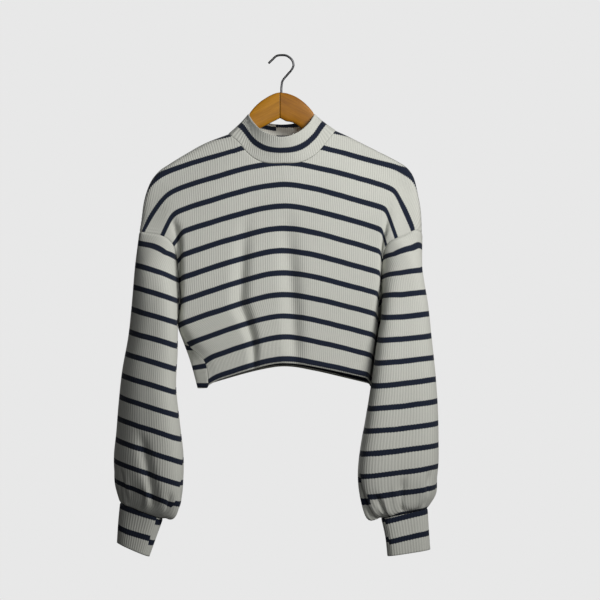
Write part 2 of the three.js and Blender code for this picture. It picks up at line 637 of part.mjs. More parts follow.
// One arm of the hanger: a rounded bar whose top follows the columns of the cloth that rests on it
function hangerTopZ(side, x) {
  const away = (place) => Math.abs(place - HANGER_JOINT);
  const cloth = columnPlaces()
    .slice(0, SHOULDER_COLUMNS + 1)
    .map((u) => shoulderPoint(side, Math.abs(u) * SHOULDER_HALF))
    .reverse();
  if (away(x) < away(cloth[0].x)) {
    const bare = [...HANGER_TOP[side], { x: cloth[0].x, z: cloth[0].z - HANGER_NECK_DROP }];
    return read(bare.map((r) => ({ k: away(r.x), z: r.z })), 'k', 'z', away(x));
  }
  let i = 0;
  while (i < cloth.length - 2 && away(x) > away(cloth[i + 1].x)) i += 1;
  const q = (x - cloth[i].x) / (cloth[i + 1].x - cloth[i].x);
  const clear = i === 0 ? mix(HANGER_NECK_DROP, WALL + HANGER_CLEAR, q) : WALL + HANGER_CLEAR;
  return mix(cloth[i].z, cloth[i + 1].z, q) - clear;
}

function hangerArm(side) {
  const sign = side === 'left' ? -1 : 1;
  const start = HANGER_JOINT + sign * 0.15;
  const reach = Math.abs(HANGER_TIP[side] - HANGER_JOINT);
  const stations = 22;
  const vertices = [];
  const faces = [];
  const half = HANGER_THICK / 2;
  const rings = [];
  for (let i = 0; i <= stations; i += 1) {
    const q = i / stations;
    const x = start + sign * (reach - 0.15) * q;
    const top = hangerTopZ(side, x);
    const ahead = hangerTopZ(side, x + sign * 2);
    const slope = Math.abs(ahead - top) / 2;
    const near = 1 - clamp(Math.abs(x - HANGER_JOINT) / ARM_SHOULDER, 0, 1);
    const upright = Math.sqrt(1 + mix(Math.min(slope, ARM_SLOPE), ARM_SLOPE, near) ** 2);
    const bar = mix(HANGER_ARM_HEIGHT, HANGER_TIP_HEIGHT, q) * upright;
    const crotch = HANGER_CROTCH_Z - Math.abs(x - HANGER_JOINT) * CROTCH_SLOPE;
    let height = Math.min(top - crotch, bar);
    const tip = clamp((q - 0.93) / 0.07, 0, 1);
    const round = Math.sqrt(1 - tip * tip * 0.9);
    const thin = half * round;
    const lowered = height * (1 - round) * 0.5;
    height *= round;
    const high = top - lowered;
    const edge = Math.min(thin * 0.8, height / 4);
    const section = [
      [-thin * 0.16, high],
      [thin * 0.16, high],
      [thin * 0.5, high - edge * 0.8],
      [thin, high - edge * 1.9],
      [thin, high - height + edge],
      [thin * 0.45, high - height],
      [-thin * 0.45, high - height],
      [-thin, high - height + edge],
      [-thin, high - edge * 1.9],
      [-thin * 0.5, high - edge * 0.8],
    ];
    rings.push(section.map(([y, z]) => vertices.push(point(x, y, z)) - 1));
  }
  const count = rings[0].length;
  for (let i = 0; i < stations; i += 1) {
    for (let j = 0; j < count; j += 1) {
      const n = (j + 1) % count;
      faces.push([rings[i][j], rings[i][n], rings[i + 1][n]]);
      faces.push([rings[i][j], rings[i + 1][n], rings[i + 1][j]]);
    }
  }
  for (let j = 1; j < count - 1; j += 1) {
    faces.push([rings[0][0], rings[0][j + 1], rings[0][j]]);
    faces.push([rings[stations][0], rings[stations][j], rings[stations][j + 1]]);
  }
  return solid(vertices, faces);
}

// The hook's wire: a straight stem in the wood, then round over the peg at the origin
const HOOK_ROUTE = [
  [-4.6, -60 - STEM_DEPTH],
  [-4.6, -60],
  [-4.3, -50],
  [-2.2, -40],
  [5.5, -30.3],
  [12.6, -22],
  [16, -14],
  [13.5, -5],
  [5.1, 1.9],
  [-4, 3.2],
  [-12.9, 1.6],
  [-20.4, -5.1],
  [-26.5, -11],
];
function hookGeometry(radius, route, steps) {
  const curve = new THREE.CatmullRomCurve3(route.map(([x, z]) => point(x, 0, z)), false, 'centripetal');
  const outline = new THREE.Shape();
  outline.absarc(0, 0, radius, 0, 2 * Math.PI, false);
  const settings = { steps, curveSegments: 10, extrudePath: curve, bevelEnabled: false };
  return new THREE.ExtrudeGeometry(outline, settings);
}

const wasm = await Module();
wasm.setup();
function toSolid(geometry) {
  const bare = geometry.clone();
  for (const name of ['normal', 'uv']) if (bare.getAttribute(name)) bare.deleteAttribute(name);
  const merged = mergeVertices(bare, 1e-4);
  const mesh = new wasm.Mesh({
    numProp: 3,
    vertProperties: new Float32Array(merged.getAttribute('position').array),
    triVerts: new Uint32Array(merged.index.array),
  });
  return new wasm.Manifold(mesh);
}
function fromSolid(body) {
  const mesh = body.getMesh();
  const geometry = new THREE.BufferGeometry();
  geometry.setAttribute('position', new THREE.BufferAttribute(new Float32Array(mesh.vertProperties), 3));
  geometry.setIndex(new THREE.BufferAttribute(new Uint32Array(mesh.triVerts), 1));
  geometry.computeVertexNormals();
  return geometry;
}

const group = new THREE.Group();
function piece(name, geometry, material) {
  const mesh = new THREE.Mesh(geometry, material);
  mesh.name = name;
  group.add(mesh);
}

// The cloth: both panels are raised, eased onto their common seams and trimmed apart
const front = panelGrid('front');
const back = panelGrid('back');
const lastColumn = front[0].length - 1;
const shoulderColumns = [];
for (let j = 0; j <= SHOULDER_COLUMNS; j += 1) shoulderColumns.push(j, lastColumn - j);
const shoulderTargets = shoulderColumns.map((j) =>
  shoulderPoint(j <= SHOULDER_COLUMNS ? 'left' : 'right', Math.abs(columnPlaces()[j]) * SHOULDER_HALF),
);
for (const rows of [front, back]) easeTop(rows, shoulderColumns, shoulderTargets, 3);
for (const [column, step] of [[0, 1], [lastColumn, -1]]) {
  const from = ARMHOLE_ROWS;
  const targets = (rows) =>
    rows.map((row, i) => {
      if (i < from && i > 0) return row[column].clone();
      return front[i][column].clone().lerp(back[i][column], 0.5);
    });
  const frontTargets = targets(front);
  const backTargets = targets(back);
  easeColumns(front, column, step, frontTargets, 3);
  easeColumns(back, column, step, backTargets, 3);
}
const loops = { left: armholeLoop(front, back, 'left'), right: armholeLoop(front, back, 'right') };
const sleeves = { left: sleeveGrid('left', loops.left), right: sleeveGrid('right', loops.right) };
const collar = collarGrid(front, back);

const normals = {
  front: gridNormals(front, false, -1),
  back: gridNormals(back, false, 1),
};
const rimTogether = (i, j) => {
  const shared = normals.front[i][j].clone().add(normals.back[i][j]).normalize();
  normals.front[i][j].copy(shared);
  normals.back[i][j].copy(shared);
};
for (const j of shoulderColumns) rimTogether(0, j);
for (let i = ARMHOLE_ROWS; i < front.length; i += 1) {
  rimTogether(i, 0);
  rimTogether(i, lastColumn);
}
const sleeveNormals = {
  left: gridNormals(sleeves.left, true, -1),
  right: gridNormals(sleeves.right, true, 1),
};
for (const [side, column] of [['left', 0], ['right', lastColumn]]) {
  const ring = sleeves[side][0];
  const count = ring.length;
  ring.forEach((p, j) => {
    const [panel, i] = j <= ARMHOLE_ROWS ? [normals.front, j] : [normals.back, count - j];
    const underarm = j === ARMHOLE_ROWS;
    const own = sleeveNormals[side][0][j];
    const shared = seamNormal(panel[i][column], own, ring[(j + count - 1) % count], ring[(j + 1) % count]);
    if (underarm) shared.set(0, 0, -1);
    panel[i][column].copy(shared);
    own.copy(shared);
    if (j === 0 || underarm) normals.back[i][column].copy(shared);
  });
}
const collarNormals = gridNormals(collar, true, 1);
collar[0].forEach((p, j) => {
  const ring = collar[0];
  const count = ring.length;
  const onFront = j <= NECK_COLUMNS;
  const i = onFront ? SHOULDER_COLUMNS + j : lastColumn - SHOULDER_COLUMNS - j + NECK_COLUMNS;
  const panel = onFront ? normals.front[0][i] : normals.back[0][i];
  const own = collarNormals[0][j];
  const shared = seamNormal(panel, own, ring[(j + count - 1) % count], ring[(j + 1) % count]);
  panel.copy(shared);
  own.copy(shared);
  if (j === 0 || j === NECK_COLUMNS) normals.back[0][i].copy(shared);
});

const edgeOf = (rows, column) => rows.map((row) => row[column]);
for (const rows of [front, back]) {
  const nextTop = rows[1].map((p) => p.clone());
  const nextLeft = edgeOf(rows, 1).map((p) => p.clone());
  const nextRight = edgeOf(rows, lastColumn - 1).map((p) => p.clone());
  trim(rows[0], nextTop);
  trim(edgeOf(rows, 0), nextLeft);
  trim(edgeOf(rows, lastColumn), nextRight);
}
piece('front', wall(front, normals.front, false), MATERIALS.knit);
piece('back', wall(back, normals.back, false), MATERIALS.knit);

for (const side of ['left', 'right']) {
  const rows = sleeves[side];
  trim(rows[0], rows[1].map((p) => p.clone()));
  const cuff = cuffGrid(side);
  const cuffNormals = gridNormals(cuff, true, side === 'left' ? -1 : 1);
  flattenRim(rows[SLEEVE_ROWS], sleeveNormals[side][SLEEVE_ROWS]);
  flattenRim(cuff[0], cuffNormals[0]);
  const sleeve = wall(rows, sleeveNormals[side], true, 1, 0, (j) => j < ARMHOLE_ROWS);
  piece(`sleeve_${side}`, sleeve, MATERIALS.knit);
  piece(`cuff_${side}`, wall(cuff, cuffNormals, true, CUFF_SPLIT, COLLAR_RIB), MATERIALS.rib);
}
trim(collar[0], collar[1].map((p) => p.clone()), SEAM_GAP);
const collarWall = wall(collar, collarNormals, true, COLLAR_SPLIT, COLLAR_RIB, (j) => j >= NECK_COLUMNS);
piece('collar', collarWall, MATERIALS.rib);

// The hanger: the stem's bore is cut into both arms
const stem = [[-4.6, -60 - STEM_DEPTH - 0.5], [-4.6, -50]];
const bore = toSolid(hookGeometry(WIRE / 2 + SEAM_GAP, stem, 1));
for (const side of ['left', 'right']) {
  piece(`hanger_arm_${side}`, fromSolid(toSolid(hangerArm(side)).subtract(bore)), MATERIALS.wood);
}
piece('hanger_hook', hookGeometry(WIRE / 2, HOOK_ROUTE, HOOK_STEPS), MATERIALS.steel);

export default group;
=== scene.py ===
# A long-sleeved cropped top of striped rib knit on a wooden hanger.
# Lengths of the garment are in millimetres and are turned to metres when a mesh is made.
# Each cloth piece is a surface over its flat cut: s runs across from the middle and t runs down.
import math

import bmesh
import bpy
import numpy as np
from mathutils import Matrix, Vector


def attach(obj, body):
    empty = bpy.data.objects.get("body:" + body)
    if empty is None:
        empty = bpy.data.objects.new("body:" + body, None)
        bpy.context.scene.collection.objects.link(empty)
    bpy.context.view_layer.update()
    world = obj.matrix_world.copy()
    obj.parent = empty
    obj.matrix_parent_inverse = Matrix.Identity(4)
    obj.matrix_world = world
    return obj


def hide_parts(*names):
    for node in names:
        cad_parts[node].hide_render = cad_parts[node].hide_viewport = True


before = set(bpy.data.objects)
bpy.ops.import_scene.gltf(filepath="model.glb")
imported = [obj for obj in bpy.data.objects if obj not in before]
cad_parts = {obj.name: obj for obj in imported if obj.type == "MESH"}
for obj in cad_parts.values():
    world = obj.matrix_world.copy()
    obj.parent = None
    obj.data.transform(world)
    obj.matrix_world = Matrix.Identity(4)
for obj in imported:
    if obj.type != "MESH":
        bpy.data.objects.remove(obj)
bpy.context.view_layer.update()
MM = 0.001

# Sizes of the cut, the same as in the solids
WALL = 2.0
NECK_HALF = 92
NECK_T = -40
SHOULDER_FALL = 0.25
SHOULDER_HALF = 300
SHOULDER_ROUND = 10
UNDERARM_T = 200
FRONT_LENGTH = 373
BACK_LENGTH = 381
NECK_DEPTH = {"front": 77, "back": 40}
NECK_ROUND = 2.8
SHOULDER_TURN = 3  # how quickly the cloth turns over the shoulder seam
HEM_BEND = 3  # the hem's length changes with this power of the place across
CROWN = 2.4  # the depth falls off towards the sides with this power
STRIPE_ARCH = 0.26  # how broadly the stripes round over in the middle
STRIPE_PITCH = 36.6
STRIPE_WIDTH = 9.4
RIB_PITCH = 4.0

# How far below the shoulder line the panels reach their depth, near the neck and at the tip
NECK_GROW = 75
TIP_GROW = 12
GROW_FROM = 150
GROW_OVER = 140


def table(columns, *rows):
    """A short table: the named columns as arrays, one value for each row."""
    values = np.array(rows, float).T
    return dict(zip(columns.split(), values))


HALF_WIDTH = table(
    "t w",
    (12, SHOULDER_HALF),
    (37, 288),
    (73, 255),
    (110, 238),
    (146, 234),
    (UNDERARM_T, 240),
    (290, 236),
    (385, 230),
)
MIDDLE = table(
    "t x z front back",
    (-40, -3, -106, -47, 40),
    (0, -3, -145, -47, 42),
    (37, -3, -182, -48, 44),
    (110, 0, -255, -50, 46),
    (183, 0, -330, -52, 48),
    (256, 0, -404, -54, 50),
    (330, 0, -476, -56, 52),
    (385, 0, -531, -58, 54),
)

# Where a line of the cut turns (a, x, y, z) and where it ends on the seam (sx, sy, sz)
SIDE_COLUMNS = "t a x y z sx sy sz soft"
SIDES = {
    ("front", -1): table(
        SIDE_COLUMNS,
        (-40, 224, -212, -6, -163, -246, -14, -250, 26),
        (0, 220, -209, -14, -196, -246, -20, -287, 24),
        (37, 212, -202, -30, -229, -238, -30, -297, 22),
        (73, 202, -190, -42, -265, -206, -40, -304, 14),
        (110, 182, -171, -44, -297, -187, -34, -320, 8),
        (146, 181, -171, -44, -336, -181, -18, -348, 8),
        (200, 182, -171, -44, -393, -177, 0, -396, 8),
        (225, 186, -172, -44, -420, -176, -6, -424, 9),
        (256, 190, -171, -43, -452, -180, -16, -457, 10),
        (293, 208, -150, -45, -483, -163, -29, -489, 12),
        (330, 208, -122, -47, -509, -134, -41, -518, 12),
        (385, 206, -112, -49, -559, -127, -45, -568, 12),
    ),
    ("front", 1): table(
        SIDE_COLUMNS,
        (-40, 226, 212, -6, -158, 236, -14, -252, 20),
        (0, 216, 203.5, -14, -192, 235, -20, -290, 18),
        (37, 206, 190, -30, -224, 217, -30, -299, 14),
        (73, 190, 173, -40, -258, 190, -41, -308, 8),
        (110, 180, 166, -43, -294, 173, -34, -321, 8),
        (146, 180, 163, -43, -330, 167, -18, -348, 8),
        (200, 180, 162, -43, -384, 163, 0, -396, 8),
        (225, 179, 158, -44, -407, 161, 4, -420, 8),
        (256, 178, 155, -44, -436, 161, 9, -449, 8),
        (293, 178, 152, -46, -472, 160, 12, -485, 8),
        (330, 178, 147, -48, -506, 154, 14, -519, 8),
        (385, 178, 140, -50, -555, 148, 14, -567, 8),
    ),
    ("back", -1): table(
        SIDE_COLUMNS,
        (-40, 224, -212, 6, -163, -246, 14, -250, 26),
        (0, 220, -209, 14, -198, -246, 20, -287, 24),
        (37, 212, -202, 28, -229, -238, 28, -297, 22),
        (73, 202, -190, 38, -265, -206, 38, -304, 14),
        (110, 186, -175, 42, -297, -187, 32, -320, 10),
        (146, 184, -177, 42, -335, -181, 17, -348, 10),
        (200, 184, -182, 40, -390, -177, 0, -396, 12),
        (225, 182, -185, 36, -420, -176, -6, -424, 12),
        (256, 176, -185, 24, -452, -180, -16, -457, 14),
        (293, 172, -176, 0, -487, -163, -29, -489, 14),
        (330, 168, -166, -28, -525, -134, -41, -518, 14),
        (385, 168, -153, -37, -567, -127, -45, -568, 14),
    ),
    ("back", 1): table(
        SIDE_COLUMNS,
        (-40, 226, 212, 6, -158, 236, 14, -252, 20),
        (0, 222, 209, 14, -195, 235, 20, -290, 18),
        (37, 206, 190, 28, -224, 217, 28, -299, 14),
        (73, 190, 173, 38, -262, 190, 38, -308, 10),
        (110, 180, 166, 42, -297, 173, 32, -321, 10),
        (146, 180, 163, 42, -330, 167, 17, -348, 10),
        (200, 180, 159, 43, -384, 163, 0, -396, 10),
        (225, 176, 171, 41, -408, 161, 4, -420, 12),
        (256, 175, 174, 39, -438, 161, 9, -449, 12),
        (293, 175, 172, 41, -475, 160, 12, -485, 12),
        (330, 177, 162, 46, -511, 154, 14, -519, 11),
        (385, 178, 147, 50, -562, 148, 14, -568, 10),
    ),
}
SHOULDER_LINE = {
    -1: table(
        "s x z",
        (92, -95, -131),
        (130, -134, -146),
        (172, -170, -166),
        (204, -196, -182),
        (226, -213, -194),
        (248, -228, -214),
        (266, -238, -243),
        (288, -243, -280),
        (300, -245, -297),
    ),
    1: table(
        "s x z",
        (92, 88, -125),
        (116, 107, -133.5),
        (146, 135, -147.5),
        (178, 163, -161.5),
        (212, 192, -176.5),
        (236, 210, -188.5),
        (252, 221, -205),
        (270, 228, -233),
        (286, 233, -262),
        (300, 235, -300),
    ),
}

# Soft folds of the panels: troughs where depth is above 0, ridges where it is below 0
FOLD_COLUMNS = "s end_s t end_t depth width"
FOLDS = {
    "front": table(
        FOLD_COLUMNS,
        (-66, -96, 90, 410, 12, 13),
        (2, 26, 90, 410, 10, 17),
        (-212, -208, 60, 190, 12, 14),
        (206, 208, 50, 180, 9, 13),
    ),
    "back": table(
        FOLD_COLUMNS,
        (-20, -38, 110, 400, 9, 18),
        (46, 54, 150, 400, 8, 16),
        (205, 205, 50, 180, 9, 14),
        (-205, -205, 50, 180, 9, 14),
    ),
}

# Sleeves and cuffs: a ring's place, half sizes and slope towards the body at each length
RING_COLUMNS = "l x y z across deep slope"
SLEEVE_RINGS = {
    -1: table(
        RING_COLUMNS,
        (0, -214, 0, -304, 31, 42, 0.28),
        (60, -217.5, -2, -365, 35.5, 46, 0.28),
        (120, -219.5, -4, -425, 39, 50, 0.28),
        (180, -222.5, -5, -486, 42.5, 53, 0.27),
        (240, -229, -6, -546, 46.5, 56, 0.28),
        (300, -229, -6, -606, 53, 58, 0.29),
        (350, -228, -6, -656, 58, 59, 0.3),
        (390, -230, -6, -695, 60, 58, 0.3),
        (425, -231, -6, -728, 58, 54, 0.32),
        (450, -233, -6, -751, 52, 45, 0.34),
        (470, -242, -6, -770, 37, 28, 0.34),
    ),
    1: table(
        RING_COLUMNS,
        (0, 203, 0, -308, 32, 42, 0.18),
        (60, 202, -6, -366, 33, 46, 0.11),
        (120, 205, -14, -426, 39, 49, 0.1),
        (180, 203, -22, -486, 47, 52, 0.11),
        (240, 202, -28, -546, 54, 55, 0.12),
        (300, 199, -30, -606, 61, 57, 0.12),
        (350, 195, -30, -656, 66, 58, 0.12),
        (390, 193, -30, -696, 68, 57, 0.14),
        (425, 193, -30, -729, 65, 53, 0.15),
        (450, 196, -30, -754, 58, 45, 0.18),
        (470, 203.5, -30, -772, 39, 28, 0.2),
    ),
}
CUFF_RINGS = {
    -1: table(
        RING_COLUMNS,
        (0, -242, -6, -770.7, 37, 28, 0.34),
        (30, -249, -6, -802, 33, 26, 0.34),
        (64, -256, -6, -836, 28, 26, 0.38),
    ),
    1: table(
        RING_COLUMNS,
        (0, 203.5, -30, -772.7, 39, 28, 0.2),
        (34, 208, -30, -806, 36.5, 27, 0.18),
        (68, 211, -30, -839, 36, 27, 0.14),
    ),
}
CAP_HEIGHT = 75
CAP_CURVE = 1.2
CAP_BLEND = 80
SLEEVE_LENGTH = 470
SLEEVE_ROUND = {-1: 0.8, 1: 0.55}  # 1 is an oval ring, less is squarer
SLEEVE_TURN = {-1: 0.5, 1: 0.2}  # how far a sleeve's front is turned outward
TURN_OVER = 130
OVAL_STEPS = 1440
COLLAR_TOP = {
    "x": -4.3,
    "across": 56,
    "front": -46,
    "back": 43,
    "sides": -97,
    "front_z": -138,
    "back_z": -113,
}
COLLAR_HEIGHT = 41
COLLAR_LEAN = 2
COLLAR_DIP = 1.5  # how soon the top edge drops from the sides to the middle

# How far the cloth follows its seams
SIDE_EASE = 104
TOP_EASE = 56
NECK_EASE = 18

# How finely the cloth is divided
RIB_POINTS = 4
PANEL_ROWS = 80
SLEEVE_RIBS = 84
SLEEVE_ROWS = 116
CUFF_RIBS = 52
CUFF_ROWS = 26
COLLAR_RIBS = 98
COLLAR_ROWS = 26
RIB_HEIGHT = 0.34
BAND_RIB_HEIGHT = 0.45
INNER_ROOM = 0.3  # the inner face stays this far inside the wall
SEAM_WIDTH = 1.6  # half width of the groove that a seam presses into the ribs
CUFF_GROOVE = 1.4
SEAM_DIP = 0.5
EDGE_TRIM = 0.15  # how far a top edge stands back from its seam
COLLAR_TRIM = 0.1
STRAIGHT_HALF = 224  # the panels' columns keep to the ribs up to here


def smooth(v):
    """0 to 1 with level ends."""
    k = np.clip(v, 0, 1)
    return k * k * (3 - 2 * k)


def mix(a, b, k):
    """From a at k = 0 to b at k = 1."""
    return a + (b - a) * k


def bell(away):
    """1 at the middle, fading to 0 on both sides."""
    return np.exp(-(away**2))


def read(rows, key, column, place):
    """A column of a table at a place: cubic pieces whose slope at a row is that between its neighbours."""
    at, value = rows[key], rows[column]
    last = len(at) - 1
    low, high = np.maximum(np.arange(last + 1) - 1, 0), np.minimum(np.arange(last + 1) + 1, last)
    slope = (value[high] - value[low]) / (at[high] - at[low])
    k = np.clip(place, at[0], at[last])
    i = np.clip(np.searchsorted(at, k, side="left") - 1, 0, last - 1)
    span = at[i + 1] - at[i]
    q = (k - at[i]) / span
    bend = q * (1 - q) ** 2 * span * slope[i] + q * q * (q - 1) * span * slope[i + 1]
    return mix(value[i], value[i + 1], q * q * (3 - 2 * q)) + bend


def shoulder_t(a):
    """The shoulder seam on the cut: a straight line that falls outward."""
    return NECK_T + (a - NECK_HALF) * SHOULDER_FALL


def top_t(face, s):
    """The top edge of the cut: the shoulder seam outside the neck points, the neckline between them."""
    a = np.abs(s)
    neck = NECK_T + NECK_DEPTH[face] * (1 - np.minimum(a / NECK_HALF, 1) ** NECK_ROUND)
    return np.where(a >= NECK_HALF, shoulder_t(a), neck)


def panel_points(face, s, t):
    """The front or back: out from the middle along a falling line to the turn, then on to the seam.

    The turn is rounded with (d + sqrt(d2 + soft2)) / 2, and the depth grows with the distance
    below the shoulder line as 1 - exp(-below / grow).
    """
    a = np.abs(s)
    sign = -1 if face == "front" else 1

    def get(column):
        left = read(SIDES[face, -1], "t", column, t)
        right = read(SIDES[face, 1], "t", column, t)
        return np.where(s < 0, left, right)

    turn, soft = get("a"), get("soft")
    width = read(HALF_WIDTH, "t", "w", t)
    d = a - turn
    beyond = (d + np.sqrt(d * d + soft * soft)) / 2
    along = (a - beyond) / turn
    out = beyond / (width - turn)
    arch = STRIPE_ARCH
    fall = (np.sqrt(along**2 + arch**2) - arch) / (math.sqrt(1 + arch**2) - arch)
    below = np.maximum(t - shoulder_t(a), 0)
    grow = mix(NECK_GROW, TIP_GROW, np.clip((a - GROW_FROM) / GROW_OVER, 0, 1) ** 2)
    crown = np.maximum(along, 0) ** CROWN
    depth = mix(read(MIDDLE, "t", face, t), get("y"), crown)
    x = mix(read(MIDDLE, "t", "x", t), get("x"), along) + (get("sx") - get("x")) * out
    z = mix(read(MIDDLE, "t", "z", t), get("z"), fall) + (get("sz") - get("z")) * out
    full = sign * (depth + (get("sy") - get("y")) * out)
    full = np.where(t < UNDERARM_T, np.maximum(full, 0), full)
    round_off = SHOULDER_ROUND * (1 - np.exp(-below / SHOULDER_TURN))
    y = sign * mix(full, round_off, np.exp(-below / grow))
    return np.stack([x, y, z], -1)


def fold_depth(folds, s, t):
    """The sum of soft troughs: a bell across each fold, fading in and out along it."""
    total = np.zeros(np.broadcast(s, t).shape)
    for i in range(len(folds["s"])):
        k = (t - folds["t"][i]) / (folds["end_t"][i] - folds["t"][i])
        away = (s - mix(folds["s"][i], folds["end_s"][i], k)) / folds["width"][i]
        total += folds["depth"][i] * smooth(k / 0.45) * smooth((1 - k) / 0.25) * bell(away)
    return total


def seam_point(s):
    """The shoulder seam, which runs along the top of the hanger's arm."""
    a = np.abs(s)
    left, right = SHOULDER_LINE[-1], SHOULDER_LINE[1]
    x = np.where(s < 0, read(left, "s", "x", a), read(right, "s", "x", a))
    z = np.where(s < 0, read(left, "s", "z", a), read(right, "s", "z", a))
    return np.stack([x, np.zeros_like(x), z], -1)


def cloth_points(face, s, t):
    """The panel with its folds, eased onto the shoulder seam."""
    s, t = np.broadcast_arrays(np.asarray(s, float), np.asarray(t, float))
    points = panel_points(face, s, t)
    points[..., 1] += (1 if face == "front" else -1) * fold_depth(FOLDS[face], s, t)
    a = np.abs(s)
    held = np.clip(a, NECK_HALF, SHOULDER_HALF) * np.where(s < 0, -1, 1)
    shift = seam_point(held) - panel_points(face, held, shoulder_t(np.abs(held)))
    weight = np.clip(1 - (t - top_t(face, s)) / TOP_EASE, 0, 1) ** 2
    weight = weight * np.clip(1 - (NECK_HALF - a) / NECK_EASE, 0, 1) ** 2
    return points + weight[..., None] * shift


def side_edge(face, side, t):
    """The panel's own edge on the armhole or the side seam."""
    return cloth_points(face, side * read(HALF_WIDTH, "t", "w", t), t)


def panel_surface(face):
    """The whole panel: its points and the place of each on the cut."""
    half = SHOULDER_HALF
    label = np.arange(-half, half + 1.0)
    v = np.linspace(0, 1, PANEL_ROWS + 1) ** 1.2
    length = FRONT_LENGTH if face == "front" else BACK_LENGTH
    hem_t = mix(length, FRONT_LENGTH, np.abs(label / half) ** HEM_BEND)
    t = mix(top_t(face, label)[None, :], hem_t[None, :], v[:, None])
    width = read(HALF_WIDTH, "t", "w", t)
    a = np.abs(label)[None, :]
    wing = STRAIGHT_HALF + (a - STRAIGHT_HALF) * (width - STRAIGHT_HALF) / (half - STRAIGHT_HALF)
    s = np.sign(label) * np.where(a > STRAIGHT_HALF, wing, a)
    points = cloth_points(face, s, t)
    for side, column in ((-1, 0), (1, -1)):
        rows_t = t[:, column]
        both = (side_edge("front", side, rows_t) + side_edge("back", side, rows_t)) / 2
        gap = np.where((rows_t >= UNDERARM_T)[:, None], both - points[:, column], 0)
        near = np.clip(1 - (width - np.abs(s)) / SIDE_EASE, 0, 1) ** 2 * (s * side > 0)
        points += near[..., None] * gap[:, None, :]
    return points, s, t


def grid_normals(points, closed, flip):
    """Unit normals from the cross product of the grid's two directions."""
    across = np.roll(points, -1, 1) - np.roll(points, 1, 1) if closed else np.gradient(points, axis=1)
    down = np.gradient(points, axis=0)
    n = np.cross(across, down)
    return flip * n / np.maximum(np.linalg.norm(n, axis=-1, keepdims=True), 1e-9)


def make_mesh(name, vertices, quads, material, uv=None):
    """A mesh object from millimetre points and faces of four corners."""
    mesh = bpy.data.meshes.new(name)
    mesh.vertices.add(len(vertices))
    mesh.vertices.foreach_set("co", (vertices * MM).reshape(-1))
    mesh.loops.add(quads.size)
    mesh.loops.foreach_set("vertex_index", quads.reshape(-1))
    mesh.polygons.add(len(quads))
    mesh.polygons.foreach_set("loop_start", np.arange(0, quads.size, 4))
    mesh.update(calc_edges=True)
    mesh.polygons.foreach_set("use_smooth", np.ones(len(quads), bool))
    if uv is not None:
        layer = mesh.uv_layers.new(name="cut")
        layer.data.foreach_set("uv", (uv[quads.reshape(-1)] * MM).reshape(-1))
    mesh.materials.append(material)
    piece = bpy.data.objects.new(name, mesh)
    bpy.context.scene.collection.objects.link(piece)
    return piece


def grid_quads(rows, cols, closed, start, turned):
    """Faces of a grid of vertices that starts at an index."""
    i, j = np.meshgrid(np.arange(rows - 1), np.arange(cols if closed else cols - 1), indexing="ij")
    after = (j + 1) % cols
    quads = np.stack([i * cols + j, i * cols + after, (i + 1) * cols + after, (i + 1) * cols + j], -1)
    quads = quads.reshape(-1, 4) + start
    return quads[:, ::-1] if turned else quads


def cloth_wall(name, points, normals, lift, uv, inner_uv, closed, flip, material):
    """A closed wall of cloth: the outer face raised by lift, a plain inner face, and the rims."""
    rows, cols = points.shape[:2]
    outer = points + normals * lift[..., None]
    inner = points - normals * (WALL - INNER_ROOM)
    vertices = np.concatenate([outer.reshape(-1, 3), inner.reshape(-1, 3)])
    uvs = np.concatenate([uv.reshape(-1, 2), inner_uv.reshape(-1, 2)])
    size = rows * cols
    turned = flip < 0
    faces = [grid_quads(rows, cols, closed, 0, turned), grid_quads(rows, cols, closed, size, not turned)]
    j = np.arange(cols if closed else cols - 1)
    after = (j + 1) % cols
    for row, end in ((0, False), (rows - 1, True)):
        a, b = row * cols + j, row * cols + after
        rim = np.stack([b, a, a + size, b + size], -1)
        faces.append(rim[:, ::-1] if end != turned else rim)
    if not closed:
        i = np.arange(rows - 1)
        for col, end in ((0, False), (cols - 1, True)):
            a, b = i * cols + col, (i + 1) * cols + col
            rim = np.stack([a, b, b + size, a + size], -1)
            faces.append(rim[:, ::-1] if end != turned else rim)
    return make_mesh(name, vertices, np.concatenate(faces), material, uvs)


def closed_uv(cols, width, v):
    """Places on the cut of a tube: u runs once round its width, and its last column is the seam."""
    u = np.arange(cols) / cols * width
    return np.stack(np.broadcast_arrays(u[None, :], v), -1)


def squared_oval(side, angle):
    """An even share of the edge of a squared oval: x = cos a ** power, y = sin a ** power."""
    fine = np.linspace(0, 2 * np.pi, OVAL_STEPS + 1)
    edge = [np.sign(v) * np.abs(v) ** SLEEVE_ROUND[side] for v in (np.cos(fine), np.sin(fine))]
    gone = np.concatenate([[0], np.cumsum(np.hypot(np.diff(edge[0]), np.diff(edge[1])))])
    share = angle / (2 * np.pi) * gone[-1]
    return np.interp(share, gone, edge[0]), np.interp(share, gone, edge[1])


def ring_points(rows, side, length, angle):
    """A squared oval ring in a plane that falls towards the body, its front turned outward."""
    across, deep = squared_oval(side, angle)
    x = side * read(rows, "l", "across", length) * across
    y = read(rows, "l", "y", length) - read(rows, "l", "deep", length) * deep
    turned = 1 if rows is CUFF_RINGS[side] else np.clip(length / TURN_OVER, 0, 1)
    y = y + side * SLEEVE_TURN[side] * turned * x
    z = read(rows, "l", "z", length) + side * read(rows, "l", "slope", length) * x
    return np.stack([read(rows, "l", "x", length) + x, y, z], -1)


def armhole_points(side, angle):
    """The armhole seam: from the tip down the front to the underarm, and up the back."""
    half = np.minimum(angle, 2 * np.pi - angle) / np.pi
    t = mix(shoulder_t(SHOULDER_HALF), UNDERARM_T, half)
    front, back = side_edge("front", side, t), side_edge("back", side, t)
    return np.where((angle <= np.pi)[..., None], front, back)


# Fine gathers above each cuff: how many times round, height and turn
GATHERS = table("count height turn", (7, 2.0, 0.4), (11, 1.5, 2.1), (17, 0.9, 4.0))
GATHER_MIDDLE = 446
GATHER_REACH = 24

